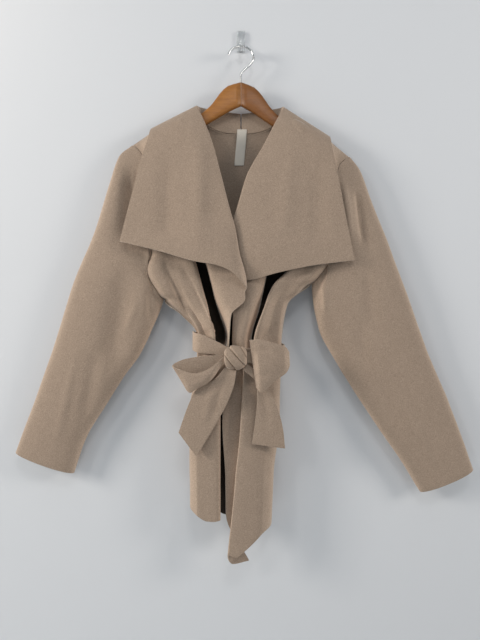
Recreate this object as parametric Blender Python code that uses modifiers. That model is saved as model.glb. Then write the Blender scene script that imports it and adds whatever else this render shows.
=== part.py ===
"""Belted waterfall jacket on a wooden hanger, hung on a small clear wall hook.

Frame: the wall is the plane y = 0 and the jacket hangs in front of it, at y < 0.  The origin is
the middle of the wall hook's plate, on the wall, +Z is up and +X is the wearer's left.  Left and
right in the names are the wearer's.  Tables and sizes are in millimetres.
"""
import math

import bmesh
import bpy
import numpy as np

MM = 0.001
OBJECT_NAME = "belted_jacket_on_hanger"

# ------------------------------------------------------------------ driving dimensions (mm)
CLOTH = 2.0                # thickness of the double-faced cloth
SEAM = 1.3                 # from one piece's middle surface to the next across a seam
SPAN_COLUMNS = 3           # mesh columns between two stations of a section
SPAN_ROWS = 2              # mesh rows between two sections
HANGER_PLANE = -30.0       # y of the hanger, and of the shoulder seams on it
CENTRE_BACK = 1.1          # x of each collar half at the centre back seam
STAND_COLUMNS = 3          # mesh columns of the collar stand, from the neck seam to the roll
BELT_HALF = (92.0, 46.0)   # half the belt ring's width and depth
BELT_MIDDLE = (-4.5, -52.0)   # x and y
BELT_POWER = 2.7           # squareness of the belt ring
LABEL_SIZE = (20.0, 75.0)  # width and length of the neck tape
LABEL_THICK = 0.7
WELD = 0.02                # points nearer than this are one point
WIRE_RADIUS = 1.9          # hanger hook wire
WOOD_THICK = 13.0          # hanger arm, front to back
PLATE_SIZE = (17.0, 4.0, 44.0)   # wall hook plate: width, thickness, height
PEG_RADIUS = 3.0
PEG_STEPS = 3              # steps of the peg between two points of its path
PEG_PATH = ((-3, -6), (-12, -20), (-22, -29), (-32, -31.4), (-38, -28), (-41, -19))  # y and z

# ------------------------------------------------------------------ sleeves
# A row for each section: the sleeve's outer and inner contour as seen from the front, the half
# depth there, and y of the section's middle.
# columns: outer_x, outer_z, inner_x, inner_z, half_depth, middle_y
SLEEVE_RIGHT = (
    (-224, -232, -160, -546, 26, -30),
    (-247, -250, -166, -566, 27, -31),
    (-269, -308, -183, -606, 28, -32),
    (-304, -420, -207, -657, 28, -32),
    (-346, -523, -236, -710, 27, -32),
    (-384, -645, -272, -771, 25, -31),
    (-424, -757, -308, -833, 23, -29),
    (-464, -863, -340, -905, 20, -28),
)
SLEEVE_LEFT = (
    (224, -256, 147, -514, 26, -30),
    (242, -279, 149, -552, 27, -31),
    (264, -338, 160, -606, 28, -32),
    (299, -427, 199, -680, 28, -32),
    (341, -541, 250, -762, 27, -32),
    (384, -658, 291, -822, 25, -31),
    (431, -770, 332, -882, 23, -29),
    (478, -898, 370, -944, 20, -28),
)
SEAM_ANGLE = 1.0           # where front and back stop short of each other on the armhole, degrees
SLEEVE_POINTS = 18         # mesh columns round a sleeve
ARMHOLE_EASE = 0.9         # the seam's gap is this share wider at the underarm
ARMHOLE_EASE_POWER = 6     # and how close to the underarm that begins
ARMHOLE_REACH = 3          # stations of a section that are drawn over to the armhole
ARMHOLE_END = 2.0          # the armhole ends this far below the sleeve's lowest point
CONTOUR_POWER = 0.9        # squareness of a sleeve section across
DEPTH_POWER = 0.75         # and front to back

# ------------------------------------------------------------------ roll line and outer edge
# A row for each line from the roll to the outer edge of lapel and collar, from the break up over
# the shoulder to the centre back.  "puff" is how far the cloth swells forward between them.
# columns: roll_x, roll_y, roll_z, edge_x, edge_y, edge_z, puff
LAPEL_RIGHT = (
    (11, -92, -529, 8, -101, -526, 0),
    (9, -92, -508, -17, -106, -498, 1),
    (4, -91, -487, -47, -106, -485, 2),
    (-3, -89, -463, -87, -103, -478, 3),
    (-13, -84, -407, -156, -93, -457, 5),
    (-22, -80, -375, -238, -78, -436, 6),
    (-41, -74, -301, -217, -72, -346, 6),
    (-59, -65, -233, -198, -68, -270, 6),
    (-78, -50, -182, -186, -58, -225, 5),
    (-92, -32, -150, -182, -34, -198, 0),
    (-88, -18, -146, -170, -4.5, -211, 0),
    (-52, -10, -151, -96, -4.5, -258, 0),
    (-1.1, -8, -157, -1.1, -4.5, -268, 0),
)
LAPEL_LEFT = (
    (-20, -68, -521, -16, -74, -519, 0),
    (-21, -69, -500, 0, -77, -513, 0),
    (-22, -70, -470, 28, -81, -510, 1),
    (-21, -71, -440, 62, -83, -500, 3),
    (-16, -73, -395, 143, -83, -483, 5),
    (-8, -73, -372, 224, -74, -472, 6),
    (14, -70, -299, 205, -70, -372, 6),
    (42, -63, -249, 190, -67, -290, 6),
    (70, -50, -191, 182, -58, -242, 5),
    (88, -32, -153, 180, -34, -214, 0),
    (86, -18, -147, 168, -4.5, -225, 0),
    (52, -10, -151, 96, -4.5, -258, 0),
    (1.1, -8, -157, 1.1, -4.5, -268, 0),
)
CORNER_ROW = 5             # the row of both tables at the lapel's corner
TOP_ROW = 9                # the row of both tables that lies over the shoulder
LAPEL_SPAN_ROWS = 2        # mesh rows between two rows of these tables behind the shoulder
ROLL_STEPS = 20            # steps of the roll line between two rows, when a height is looked up
LAPEL_WIDTH_COLUMNS = 7    # mesh columns from the roll to the edge
ROLL_HASTE = 2.5           # how soon past the roll the cloth reaches the edge's depth
ROLL_CROWD = 1.35          # how much closer the mesh columns lie at the roll
PUFF_LEAN = 0.7            # under 1 puts the swelling nearer to the roll

# ------------------------------------------------------------------ fronts
# Each front is a loft through sections.  A section runs from the side seam over small pleats to
# the lip of the deep fold, the hollow behind the lip, its floor and the way out, the crest of the
# rolled part, the place where it turns under, and the free edge or the roll line.
STATIONS = ("side", "pleat", "tuck", "lip", "hollow", "floor", "rise", "crest", "under", "edge")
# level, then z at the side and at the edge, then x and y of each station
FRONT_RIGHT = (
    ("yoke", -300, -300, (-200, -52), (-182, -60), (-164, -61), (-146, -62), (-132, -60),
     (-118, -60), (-102, -62), (-84, -64), (-62, -66), (-41, -73)),
    ("chest", -400, -400, (-190, -56), (-172, -63), (-152, -63), (-122, -68), (-122, -48),
     (-106, -46), (-98, -64), (-72, -68), (-42, -74), (-15, -83)),
    ("bust", -478, -478, (-178, -46), (-160, -60), (-132, -60), (-92, -68), (-96, -22),
     (-72, -19), (-68, -60), (-48, -72), (-24, -80), (2, -90)),
    ("underarm", -547, -547, (-158, -32), (-140, -54), (-112, -52), (-73, -71), (-77, -22),
     (-55, -19), (-51, -58), (-38, -76), (-16, -87), (8, -93)),
    ("rib", -580, -580, (-120, -38), (-106, -58), (-88, -54), (-63, -79), (-66, -31),
     (-45, -27), (-40, -56), (-34, -74), (-27, -86), (-19.5, -94)),
    ("waist", -620, -626, (-88, -46), (-84, -64), (-70, -64), (-50, -86), (-54, -35),
     (-34, -31), (-28, -50), (-26, -68), (-25, -82), (-23.5, -92)),
    ("below_belt", -672, -676, (-87, -44), (-87, -62), (-78, -66), (-62, -80), (-59, -60),
     (-47, -57), (-40, -66), (-36, -74), (-31, -80), (-26, -88)),
    ("hip", -780, -784, (-86, -28), (-102, -46), (-100, -64), (-86, -78), (-77, -80),
     (-69, -80.5), (-61, -81), (-54, -81), (-47, -80), (-41, -76)),
    ("thigh", -880, -890, (-86, -26), (-102, -44), (-101, -62), (-87, -78), (-78, -80),
     (-70, -81), (-62, -82), (-54, -82), (-47, -81), (-41, -77)),
    ("knee", -914, -940, (-85, -26), (-101, -43), (-100, -61), (-87, -77), (-78, -80),
     (-70, -81), (-62, -82), (-54, -82), (-47, -81), (-41, -77)),
    ("hem", -944, -984, (-84, -26), (-100, -43), (-100, -61), (-86, -77), (-77, -80),
     (-69, -81), (-62, -82), (-54, -82), (-47, -81), (-41, -77)),
)
FRONT_LEFT = (
    ("yoke", -300, -300, (200, -52), (182, -60), (164, -61), (144, -62), (126, -60),
     (108, -60), (90, -62), (66, -64), (40, -66), (14, -70)),
    ("chest", -400, -400, (184, -56), (168, -63), (150, -63), (122, -68), (122, -46),
     (96, -44), (86, -62), (52, -66), (16, -69), (-17, -75)),
    ("bust", -474, -478, (162, -46), (148, -58), (130, -60), (104, -66), (108, -22),
     (62, -19), (54, -56), (30, -70), (2, -70), (-22, -73)),
    ("underarm", -513, -545, (144, -32), (124, -56), (98, -60), (64, -68), (68, -22),
     (47, -19), (42, -58), (24, -76), (0, -74), (-16, -70)),
    ("rib", -556, -580, (95, -38), (84, -58), (68, -62), (47, -79), (51, -29),
     (37, -26), (33, -58), (18, -80), (0, -83), (-16, -80)),
    ("waist", -632, -628, (81, -46), (74, -62), (54, -68), (27, -86), (31, -36),
     (21, -32), (18, -60), (6, -85), (-8, -85), (-17, -80)),
    ("below_belt", -680, -680, (80, -44), (78, -60), (64, -70), (42, -80), (35, -67),
     (25, -66), (14, -77), (5, -84), (7, -69), (-18, -74)),
    ("hip", -780, -790, (66, -26), (77, -46), (70, -66), (52, -80), (43, -83),
     (32, -85), (17, -87), (0, -85), (7, -68), (-37, -72)),
    ("thigh", -890, -900, (58, -26), (66, -46), (60, -66), (44, -80), (35, -83),
     (22, -86), (6, -88), (-10, -86), (-3, -68), (-31, -72)),
    ("knee", -945, -975, (55, -26), (63, -46), (58, -65), (43, -79), (32, -83),
     (16, -86), (0, -88), (-17, -86), (-9, -68), (-30, -71)),
    ("hem", -996, -1066, (52, -26), (61, -46), (56, -64), (42, -78), (28, -84),
     (10, -87), (-8, -88), (-25, -85), (-18, -74), (16, -65)),
)
# Drop of the hem below the section's own slope, at each station: the points of the uneven hem.
HEM_RIGHT = (0, 12, 13, 17, 18, 17, 13, 9, 4, -1)
HEM_LEFT = (0, -5, -10, -11, -6, 2, 8, -2, 12, 2)

# ------------------------------------------------------------------ shoulders and neck
SHOULDER_DROP = ((0, 0.0), (5, 0.45), (14, 0.8), (34, 1.0))    # way down, share of the depth
SHOULDER_CURVE = 5.0       # rise of the middle of a shoulder seam above a straight line
SHOULDER_SEAM = 1.8        # from the front's middle surface to the back's across it
NECK_SIDE_STAND = 11.0     # height of the collar stand at the side of the neck
NECK_SIDE_OUT = 1.0        # the neck seam's end stands this far outside the roll
NECK_LOW = (-200.0, -13.5)     # z and y of the neck seam at the centre back
NECK_SPREAD = 1.15         # over 1 keeps the neck seam longer at the side of the neck
NECK_HASTE = 0.27          # how soon the neck seam leaves the hanger for the back
NECK_FALL = 2.5            # how soon it drops to its lowest level
NECK_CENTRE = (0.0, -140.0)    # x and z of the middle of the neck opening

# ------------------------------------------------------------------ back
# The same sections as the fronts': how deep the gathers are, and y where the back hangs plumb.
# columns: level, gather, plumb
BACK = (
    ("yoke", 0, -9),
    ("chest", 0, -9),
    ("bust", 1, -9),
    ("underarm", 3, -9),
    ("rib", 8, -9),
    ("waist", 13, -8.6),
    ("below_belt", 12, -8.6),
    ("hip", 10, -9),
    ("thigh", 11, -9),
    ("knee", 11, -9),
    ("hem", 11, -9),
)
UNDERARM_ROW = 3           # the row of this table at the underarm
BACK_DROP = 38.0           # how much lower the back's hem hangs in the middle
SIDE_SEAM = 2.8            # from the front's middle surface to the back's at the side seams
SIDE_TURN = 4.0            # how sharply the back turns forward to its side seams
BACK_GATHERS = 5           # pleats across the back at the waist
BACK_COLUMNS = 36          # mesh columns across the back
# The neck tape's middle line; columns: way down it, x, y, z.
LABEL_ROWS = ((0, 2, -14.6, -191), (10, 1.5, -15.4, -201), (24, 0.6, -14.0, -215),
              (45, -1.5, -12.3, -236), (75, -4, -11.6, -266))
LABEL_LINES = 10           # mesh rows of the tape

# ------------------------------------------------------------------ belt, bow and tails
# Each bow piece is a ruled strip between an upper and a lower edge; a row for each line across.
# columns: upper_x, upper_y, upper_z, lower_x, lower_y, lower_z
LOOP_RIGHT = (
    (-33, -114, -660, -33.2, -112.5, -670),
    (-58, -120, -680, -58, -114, -704),
    (-84, -119, -690, -86, -113, -721),
    (-112, -112, -685, -97, -107, -728),
    (-131, -106, -677, -105, -102.5, -718),
    (-112, -101, -666, -88, -100, -704),
    (-80, -100, -660, -66, -100, -688),
    (-34.2, -103, -656, -34.2, -103, -667),
)
LOOP_LEFT = (
    (16.0, -116, -628, 29, -114, -718),
    (34, -121.0, -626, 40, -118, -726),
    (62, -118, -633, 62, -115, -706),
    (82, -111, -640, 85, -109, -690),
    (91, -104, -652, 92, -104, -676),
    (77, -100.5, -645, 82, -100.5, -684),
    (48, -100.5, -640, 56, -100.5, -684),
    (11.6, -107.5, -652, 11.6, -107.5, -670),
)
TAIL_RIGHT = (
    (-30, -109, -679.8, -9, -112.5, -686.2),
    (-54, -102, -706, -13, -108, -712),
    (-86, -99, -724, -22, -106, -738),
    (-100, -96, -750, -34, -101, -764),
    (-112, -93, -782, -58, -98, -806),
    (-121, -90, -808, -86, -94, -853),
)
TAIL_LEFT = (
    (3, -111.5, -683.1, 11.6, -106.5, -673.4),
    (29, -104.5, -708, 44, -101, -700),
    (31, -103, -732, 54, -99, -726),
    (30, -101, -757, 69, -97, -756),
    (26, -99, -792, 80, -95, -796),
    (21, -97, -828, 85, -93, -838),
)
# The belt's upper and lower edge round the ring; angle 0 is the wearer's left, -90 the front.
BELT_EDGES = ((-180, -612, -645), (-140, -617, -654), (-115, -632, -657), (-100, -643, -668),
              (-85, -644, -674), (-70, -644, -674), (-40, -640, -672), (0, -640, -674),
              (90, -622, -658), (180, -612, -645))
BELT_COLUMNS = 40
BELT_LINES = 4             # mesh rows of the belt
STRIP_LINES = 5            # mesh columns across a loop or a tail
KNOT_MIDDLE = (-10.5, -113.3, -661)
KNOT_HALF = (22, 14, 23.5)
KNOT_WRAPS = 3             # turns of the belt that show on the knot
KNOT_GROOVE = 3.5          # depth of the furrow between two turns
KNOT_SLANT = -0.26         # share of the knot's length by which the turns slant
KNOT_END = 0.06            # share of the way round at which the knot is cut flat
KNOT_BLUNT = 0.55          # under 1 makes its ends blunter
KNOT_MESH = (13, 24)       # rings and points of a ring

# ------------------------------------------------------------------ hanger
# Sections of a wooden arm from the middle joint to the tip: its top and its lower outline.
# columns: top_x, top_z, low_x, low_z
ARM = (
    (0.15, -101, 0.15, -149),
    (27, -110, 22, -160),
    (44, -127, 38, -170),
    (58, -147, 54, -180),
    (72, -162, 70, -190),
    (104, -184, 100, -208),
    (150, -209, 147, -234),
    (203, -236, 201, -255),
)
ARM_TILT = 3.0             # degrees that the hanger hangs lower on the wearer's left
ARM_ROWS = 2               # sections of a wooden arm between two points of its outline
ARM_POINTS = 12            # points round a section
ARM_SQUARE = (0.6, 0.5)    # squareness of a section up and out; 1 is round
HOOK_STEPS = 2             # steps of the wire between two points of its path
HOOK_WIRE = ((-26, -43), (-21, -34), (-12, -28), (0, -26), (13, -29), (22, -37), (26, -50),
             (21, -61), (12, -70), (4, -77), (0, -84), (0, -101.2))


# ================================================================== curves and surfaces
def slopes(knots, values):
    """Tangents of a smooth curve that does not overshoot its own points."""
    step = np.diff(knots)
    rise = np.diff(values, axis=0) / step[:, None]
    tangent = np.zeros_like(values)
    tangent[0] = rise[0]
    tangent[-1] = rise[-1]
    for row in range(1, len(knots) - 1):
        before = rise[row - 1]
        after = rise[row]
        weight = before * after > 0
        total = np.where(weight, before + after, 1.0)
        tangent[row] = np.where(weight, 2.0 * before * after / total, 0.0)
    return tangent


def through(knots, values, places):
    """Values at the given places of the smooth curve through values at knots."""
    knots = np.asarray(knots, float)
    values = np.asarray(values, float)
    flat = values.reshape(len(knots), -1)
    tangent = slopes(knots, flat)
    found = []
    for place in places:
        span = int(np.clip(np.searchsorted(knots, place) - 1, 0, len(knots) - 2))
        width = knots[span + 1] - knots[span]
        s = (place - knots[span]) / width
        found.append(
            (2 * s ** 3 - 3 * s ** 2 + 1) * flat[span]
            + (s ** 3 - 2 * s ** 2 + s) * width * tangent[span]
            + (-2 * s ** 3 + 3 * s ** 2) * flat[span + 1]
            + (s ** 3 - s ** 2) * width * tangent[span + 1])
    return np.array(found).reshape((len(found),) + values.shape[1:])


def flowing(points, per_span):
    """A rounded curve through points, with the same number of steps in each span."""
    points = np.asarray(points, float)
    tangent = np.zeros_like(points)
    tangent[1:-1] = (points[2:] - points[:-2]) / 2.0
    tangent[0] = points[1] - points[0]
    tangent[-1] = points[-1] - points[-2]
    line = []
    for span in range(len(points) - 1):
        length = np.linalg.norm(points[span + 1] - points[span])
        pull = []
        for end in (span, span + 1):
            size = max(np.linalg.norm(tangent[end]), 1e-6)
            pull.append(tangent[end] * min(1.0, length / size))
        for step in range(per_span):
            s = step / per_span
            line.append(
                (2 * s ** 3 - 3 * s ** 2 + 1) * points[span]
                + (s ** 3 - 2 * s ** 2 + s) * pull[0]
                + (-2 * s ** 3 + 3 * s ** 2) * points[span + 1]
                + (s ** 3 - s ** 2) * pull[1])
    line.append(points[-1])
    return np.array(line)


def steps(rows, per_span):
    """Places along a table of rows, with per_span steps between two rows."""
    return np.linspace(0, rows - 1, (rows - 1) * per_span + 1)


# ================================================================== materials and meshes
def material(name, colour, roughness, metallic=0.0, alpha=1.0):
    made = bpy.data.materials.new(name)
    made.use_nodes = True
    shader = made.node_tree.nodes["Principled BSDF"]
    shader.inputs["Base Color"].default_value = (*colour, 1.0)
    shader.inputs["Roughness"].default_value = roughness
    shader.inputs["Metallic"].default_value = metallic
    shader.inputs["Alpha"].default_value = alpha
    return made


def place(name, mesh, finish, home):
    """Add a mesh as one named object of the part."""
    mesh.materials.append(finish)
    mesh.shade_smooth()
    made = bpy.data.objects.new(name, mesh)
    home.objects.link(made)
    return made


def sheet(name, grids, finish, home, thick=CLOTH, closed=False):
    """A cloth piece: grids of points, joined where they meet, thickened to a wall."""
    soft = bmesh.new()
    for grid in grids:
        rows = [[soft.verts.new(point * MM) for point in line] for line in grid]
        columns = len(rows[0])
        for row in range(len(rows) - 1):
            for column in range(columns if closed else columns - 1):
                right = (column + 1) % columns
                corners = (rows[row][column], rows[row + 1][column],
                           rows[row + 1][right], rows[row][right])
                soft.faces.new(corners)
    bmesh.ops.remove_doubles(soft, verts=soft.verts, dist=WELD * MM)
    bmesh.ops.recalc_face_normals(soft, faces=soft.faces)
    mesh = bpy.data.meshes.new(name)
    soft.to_mesh(mesh)
    soft.free()
    made = place(name, mesh, finish, home)
    wall = made.modifiers.new("wall", "SOLIDIFY")
    wall.thickness = thick * MM
    wall.offset = 0.0
    return made


def closed_loft(name, rings, finish, home):
    """A solid through closed rings of points, capped at both ends."""
    soft = bmesh.new()
    loops = [[soft.verts.new(np.asarray(point) * MM) for point in ring] for ring in rings]
    count = len(loops[0])
    for lower, upper in zip(loops[:-1], loops[1:]):
        for column in range(count):
            right = (column + 1) % count
            soft.faces.new((lower[column], lower[right], upper[right], upper[column]))
    soft.faces.new(loops[0])
    soft.faces.new(loops[-1])
    bmesh.ops.recalc_face_normals(soft, faces=soft.faces)
    mesh = bpy.data.meshes.new(name)
    soft.to_mesh(mesh)
    soft.free()
    return place(name, mesh, finish, home)


# ================================================================== sleeves and armholes
def sleeve_ring(section, angles):
    """Points of one sleeve section: angle 0 is the outer contour, 180 the inner one, and the
    front of the sleeve lies between them."""
    outer_x, outer_z, inner_x, inner_z, half_depth, middle_y = section
    middle = np.array(((outer_x + inner_x) / 2, middle_y, (outer_z + inner_z) / 2))
    reach = np.array(((outer_x - inner_x) / 2, 0.0, (outer_z - inner_z) / 2))
    turn = np.radians(angles)
    across = np.sign(np.cos(turn)) * np.abs(np.cos(turn)) ** CONTOUR_POWER
    depth = np.sign(np.sin(turn)) * np.abs(np.sin(turn)) ** DEPTH_POWER
    points = middle + across[:, None] * reach
    points[:, 1] -= depth * half_depth
    return points


def armhole(sections, angles, toward_body):
    """The armhole seam, moved over to the body's side of it."""
    points = sleeve_ring(sections[0], np.asarray(angles, float))
    low = (1 - np.cos(np.radians(np.asarray(angles, float)))) / 2
    points[:, 0] += toward_body * SEAM * (1 + ARMHOLE_EASE * low ** ARMHOLE_EASE_POWER)
    return points


def arm_angle(section, height):
    """The angle round a sleeve section at which its contour passes a height."""
    outer_z, inner_z = section[1], section[3]
    share = (height - (outer_z + inner_z) / 2) / ((outer_z - inner_z) / 2)
    share = float(np.clip(share, -1.0, 1.0))
    angle = math.degrees(math.acos(math.copysign(abs(share) ** (1 / CONTOUR_POWER), share)))
    return min(max(angle, SEAM_ANGLE), 180 - SEAM_ANGLE)


def follow_armhole(line, sections, side, front):
    """Draw the start of a section of the body over to the armhole seam."""
    underarm = sections[0][3]
    if line[0, 2] < underarm - ARMHOLE_END:
        return
    angle = front * arm_angle(sections[0], line[0, 2])
    shift = armhole(sections, [angle], -side)[0] - line[0]
    reach = SPAN_COLUMNS * ARMHOLE_REACH
    for column in range(min(reach, len(line))):
        near = 1.0 - column / reach
        line[column] += shift * near * near * (3 - 2 * near)


def make_sleeve(name, sections, finish, home):
    rows = through(range(len(sections)), sections, steps(len(sections), SPAN_ROWS))
    angles = np.arange(SLEEVE_POINTS) * 360.0 / SLEEVE_POINTS
    grid = [sleeve_ring(row, angles) for row in rows]
    return sheet(name, [grid], finish, home, closed=True)


# ================================================================== shoulders
def shoulder_line(sections, lapel, count):
    """Points of the shoulder seam, from the armhole to the side of the neck."""
    tip = sleeve_ring(sections[0], np.array([0.0]))[0]
    side = math.copysign(1.0, tip[0])
    roll = np.array(lapel[TOP_ROW][:3], float)
    neck = np.array((roll[0] + NECK_SIDE_OUT * side, HANGER_PLANE, roll[2] - NECK_SIDE_STAND))
    share = np.linspace(0, 1, count)[:, None]
    line = tip + (neck - tip) * share
    line[:, 1] = HANGER_PLANE
    line[:, 2] += SHOULDER_CURVE * np.sin(math.pi * share[:, 0])
    return line


def turn_over_hanger(top, hanging):
    """The lines on which the cloth turns from the hanger arm to hang plumb."""
    turned = []
    for drop, share in SHOULDER_DROP[1:]:
        line = top.copy()
        line[:, 2] -= drop
        line[:, 1] += (hanging[:, 1] - top[:, 1]) * share
        turned.append(line)
    return turned


def row_places(count):
    """Places along a panel's lines: one step between the turned lines, then SPAN_ROWS."""
    turned = len(SHOULDER_DROP)
    fine = np.linspace(turned, count - 1, (count - 1 - turned) * SPAN_ROWS + 1)
    return np.concatenate((np.arange(turned, dtype=float), fine))


def roll_curve(lapel, first, last):
    """The roll line between two rows of a lapel table."""
    table = np.array(lapel, float)[:, :3]
    places = np.linspace(first, last, int(round(abs(last - first) * LAPEL_SPAN_ROWS)) + 1)
    return through(range(len(table)), table, places)


def roll_places(lapel, heights):
    """Where along a lapel table the roll line, on its way up to the shoulder, is at each height."""
    places = steps(TOP_ROW + 1, ROLL_STEPS)
    rise = through(range(len(lapel)), [row[2] for row in lapel], places)
    return np.interp(heights, rise, places)


# ================================================================== fronts
def front_sections(table, hem, sections, lapel):
    """The sections of one front, shoulder first, each a row of points."""
    columns = (len(STATIONS) - 1) * SPAN_COLUMNS + 1
    shoulder = np.zeros((columns, 3))
    body = columns - STAND_COLUMNS
    shoulder[:body] = shoulder_line(sections, lapel, body)
    shoulder[:body, 1] -= SHOULDER_SEAM / 2
    neck = shoulder[body - 1]
    top = np.array(lapel[TOP_ROW][:3], float)
    for column in range(STAND_COLUMNS):
        share = (column + 1) / STAND_COLUMNS
        shoulder[body + column] = neck + (top - neck) * share
    lines = []
    for number, row in enumerate(table):
        side_z, edge_z = row[1], row[2]
        stations = np.zeros((len(STATIONS), 3))
        for place_on, (x, y) in enumerate(row[3:]):
            share = place_on / (len(STATIONS) - 1)
            stations[place_on] = (x, y, side_z + (edge_z - side_z) * share)
            if number == len(table) - 1:
                stations[place_on, 2] -= hem[place_on]
        lines.append(flowing(stations, SPAN_COLUMNS))
    return [shoulder] + turn_over_hanger(shoulder, lines[0]) + lines


def front_grid(table, hem, sections, lapel):
    """One front from the shoulder to the hem, from the side seam to the roll or free edge, and
    the places along the lapel table that its rows meet."""
    side = math.copysign(1.0, table[0][3][0])
    lines = np.array(front_sections(table, hem, sections, lapel))
    grid = through(range(len(lines)), lines, row_places(len(lines)))
    # the edge above the break is the roll line itself
    edge_z = grid[:, -1, 2]
    above = int(np.sum(edge_z > lapel[0][2]))
    places = roll_places(lapel, edge_z[:above])
    places[np.argmin(np.abs(places - CORNER_ROW))] = CORNER_ROW
    roll = through(range(len(lapel)), np.array(lapel, float)[:, :3], places)
    reach = float(SPAN_COLUMNS * ARMHOLE_REACH)
    for line, target in zip(grid, roll):
        shift = target - line[-1]
        for column in range(len(line)):
            near = max(0.0, 1.0 - (len(line) - 1 - column) / reach)
            line[column] += shift * near * near * (3 - 2 * near)
    # the side above the underarm is the armhole seam
    for line in grid:
        follow_armhole(line, sections, side, 1.0)
    return grid, places[::-1]


def lapel_grid(lapel, places):
    """Lapel and collar fall, from the roll line to the outer edge: at the panel's own rows up to
    the shoulder, then on to the centre back."""
    table = np.array(lapel, float)
    beyond = steps(len(table), LAPEL_SPAN_ROWS)
    places = np.concatenate((places, beyond[beyond > TOP_ROW]))
    rows = through(range(len(table)), table, places)
    share = np.linspace(0, 1, LAPEL_WIDTH_COLUMNS + 1) ** ROLL_CROWD
    grid = []
    for row in rows:
        roll = row[:3]
        edge = row[3:6]
        line = roll + (edge - roll) * share[:, None]
        line[:, 1] = roll[1] + (edge[1] - roll[1]) * (1 - (1 - share) ** ROLL_HASTE)
        line[:, 1] -= row[6] * np.sin(math.pi * share ** PUFF_LEAN)
        grid.append(line)
    return np.array(grid)


def stand_grid(lapel, sections):
    """Back half of the collar stand, from the neck seam up to the roll."""
    side = math.copysign(1.0, lapel[TOP_ROW][0])
    roll = roll_curve(lapel, TOP_ROW, len(lapel) - 1)
    neck_side = shoulder_line(sections, lapel, 2)[-1]
    neck_side[1] -= SHOULDER_SEAM / 2
    neck = neck_line(neck_side, len(roll), side)
    share = np.linspace(0, 1, STAND_COLUMNS + 1)[:, None]
    return np.array([low + (high - low) * share for low, high in zip(neck, roll)])


def neck_line(neck_side, count, side):
    """The back neck seam, from the side of the neck to the centre back."""
    share = np.linspace(0, 1, count)
    line = np.zeros((count, 3))
    reach = abs(neck_side[0]) - CENTRE_BACK
    line[:, 0] = side * (CENTRE_BACK + reach * (1 - share ** NECK_SPREAD))
    fall = np.sin(share * math.pi / 2)
    low = 1 - (1 - share) ** NECK_FALL
    line[:, 2] = neck_side[2] + (NECK_LOW[0] - neck_side[2]) * low
    line[:, 1] = neck_side[1] + (NECK_LOW[1] - neck_side[1]) * fall ** NECK_HASTE
    return line


def make_front(name, table, hem, sections, lapel, finish, home):
    panel, places = front_grid(table, hem, sections, lapel)
    grids = [panel, lapel_grid(lapel, places), stand_grid(lapel, sections)]
    sheet(name, grids, finish, home)
    return front_sections(table, hem, sections, lapel)[len(SHOULDER_DROP):]


# ================================================================== back
def back_top():
    """The back's upper edge: shoulder seam, neck seam, shoulder seam."""
    per_side = BACK_COLUMNS // 3
    middle = BACK_COLUMNS - 2 * per_side
    halves = []
    for sections, lapel in ((SLEEVE_RIGHT, LAPEL_RIGHT), (SLEEVE_LEFT, LAPEL_LEFT)):
        shoulder = shoulder_line(sections, lapel, per_side + 1)
        side = math.copysign(1.0, shoulder[0, 0])
        neck = neck_line(shoulder[-1], middle // 2 + 1, side)
        out = neck[:, (0, 2)] - np.array(NECK_CENTRE)
        out *= SEAM / np.linalg.norm(out, axis=1)[:, None]
        neck[:, (0, 2)] += out
        neck[-1, 0] = 0.0
        shoulder[:, 1] += SHOULDER_SEAM / 2
        shoulder[-1] = (shoulder[-2] + neck[1]) / 2
        halves.append(np.vstack((shoulder, neck[1:])))
    return np.vstack((halves[0], halves[1][::-1][1:]))


def side_end(front_line, level_row, sections, side):
    """Where a back section starts: on the armhole, or just past the front's side seam."""
    start = front_line[0]
    if level_row < UNDERARM_ROW:
        return armhole(sections, [-arm_angle(sections[0], start[2])], -side)[0]
    away = start - front_line[1]
    away[2] = 0.0
    return start + away * SIDE_SEAM / np.linalg.norm(away)


def back_grid(right_front, left_front):
    """The back from the shoulder and neck seams to the hem, from the wearer's right to left."""
    top = back_top()
    columns = len(top)
    across = np.linspace(0, 1, columns)
    at_side = np.abs(2 * across - 1) ** SIDE_TURN
    wave = (1 - np.cos(2 * math.pi * BACK_GATHERS * across)) / 2
    lines = []
    for row, (_, gather, plumb) in enumerate(BACK):
        right = side_end(right_front[row], row, SLEEVE_RIGHT, -1.0)
        left = side_end(left_front[row], row, SLEEVE_LEFT, 1.0)
        line = right + (left - right) * across[:, None]
        line[:, 1] = plumb + (line[:, 1] - plumb) * at_side
        line[:, 1] -= gather * wave * (1 - at_side)
        if row == len(BACK) - 1:
            line[:, 2] -= BACK_DROP * np.sin(math.pi * across)
        lines.append(line)
    lines = [top] + turn_over_hanger(top, lines[0]) + lines
    grid = through(range(len(lines)), lines, row_places(len(lines)))
    for line in grid:
        follow_armhole(line, SLEEVE_RIGHT, -1.0, -1.0)
        follow_armhole(line[::-1], SLEEVE_LEFT, 1.0, -1.0)
    return grid


def label_grid():
    """The neck tape, down from the collar stand in front of the back."""
    rows = through([row[0] for row in LABEL_ROWS], [row[1:] for row in LABEL_ROWS],
                   np.linspace(0, LABEL_SIZE[1], LABEL_LINES))
    half = LABEL_SIZE[0] / 2
    grid = []
    for x, y, z in rows:
        grid.append([np.array((x + half * share, y, z)) for share in (-1, -0.33, 0.33, 1)])
    return np.array(grid)


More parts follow.
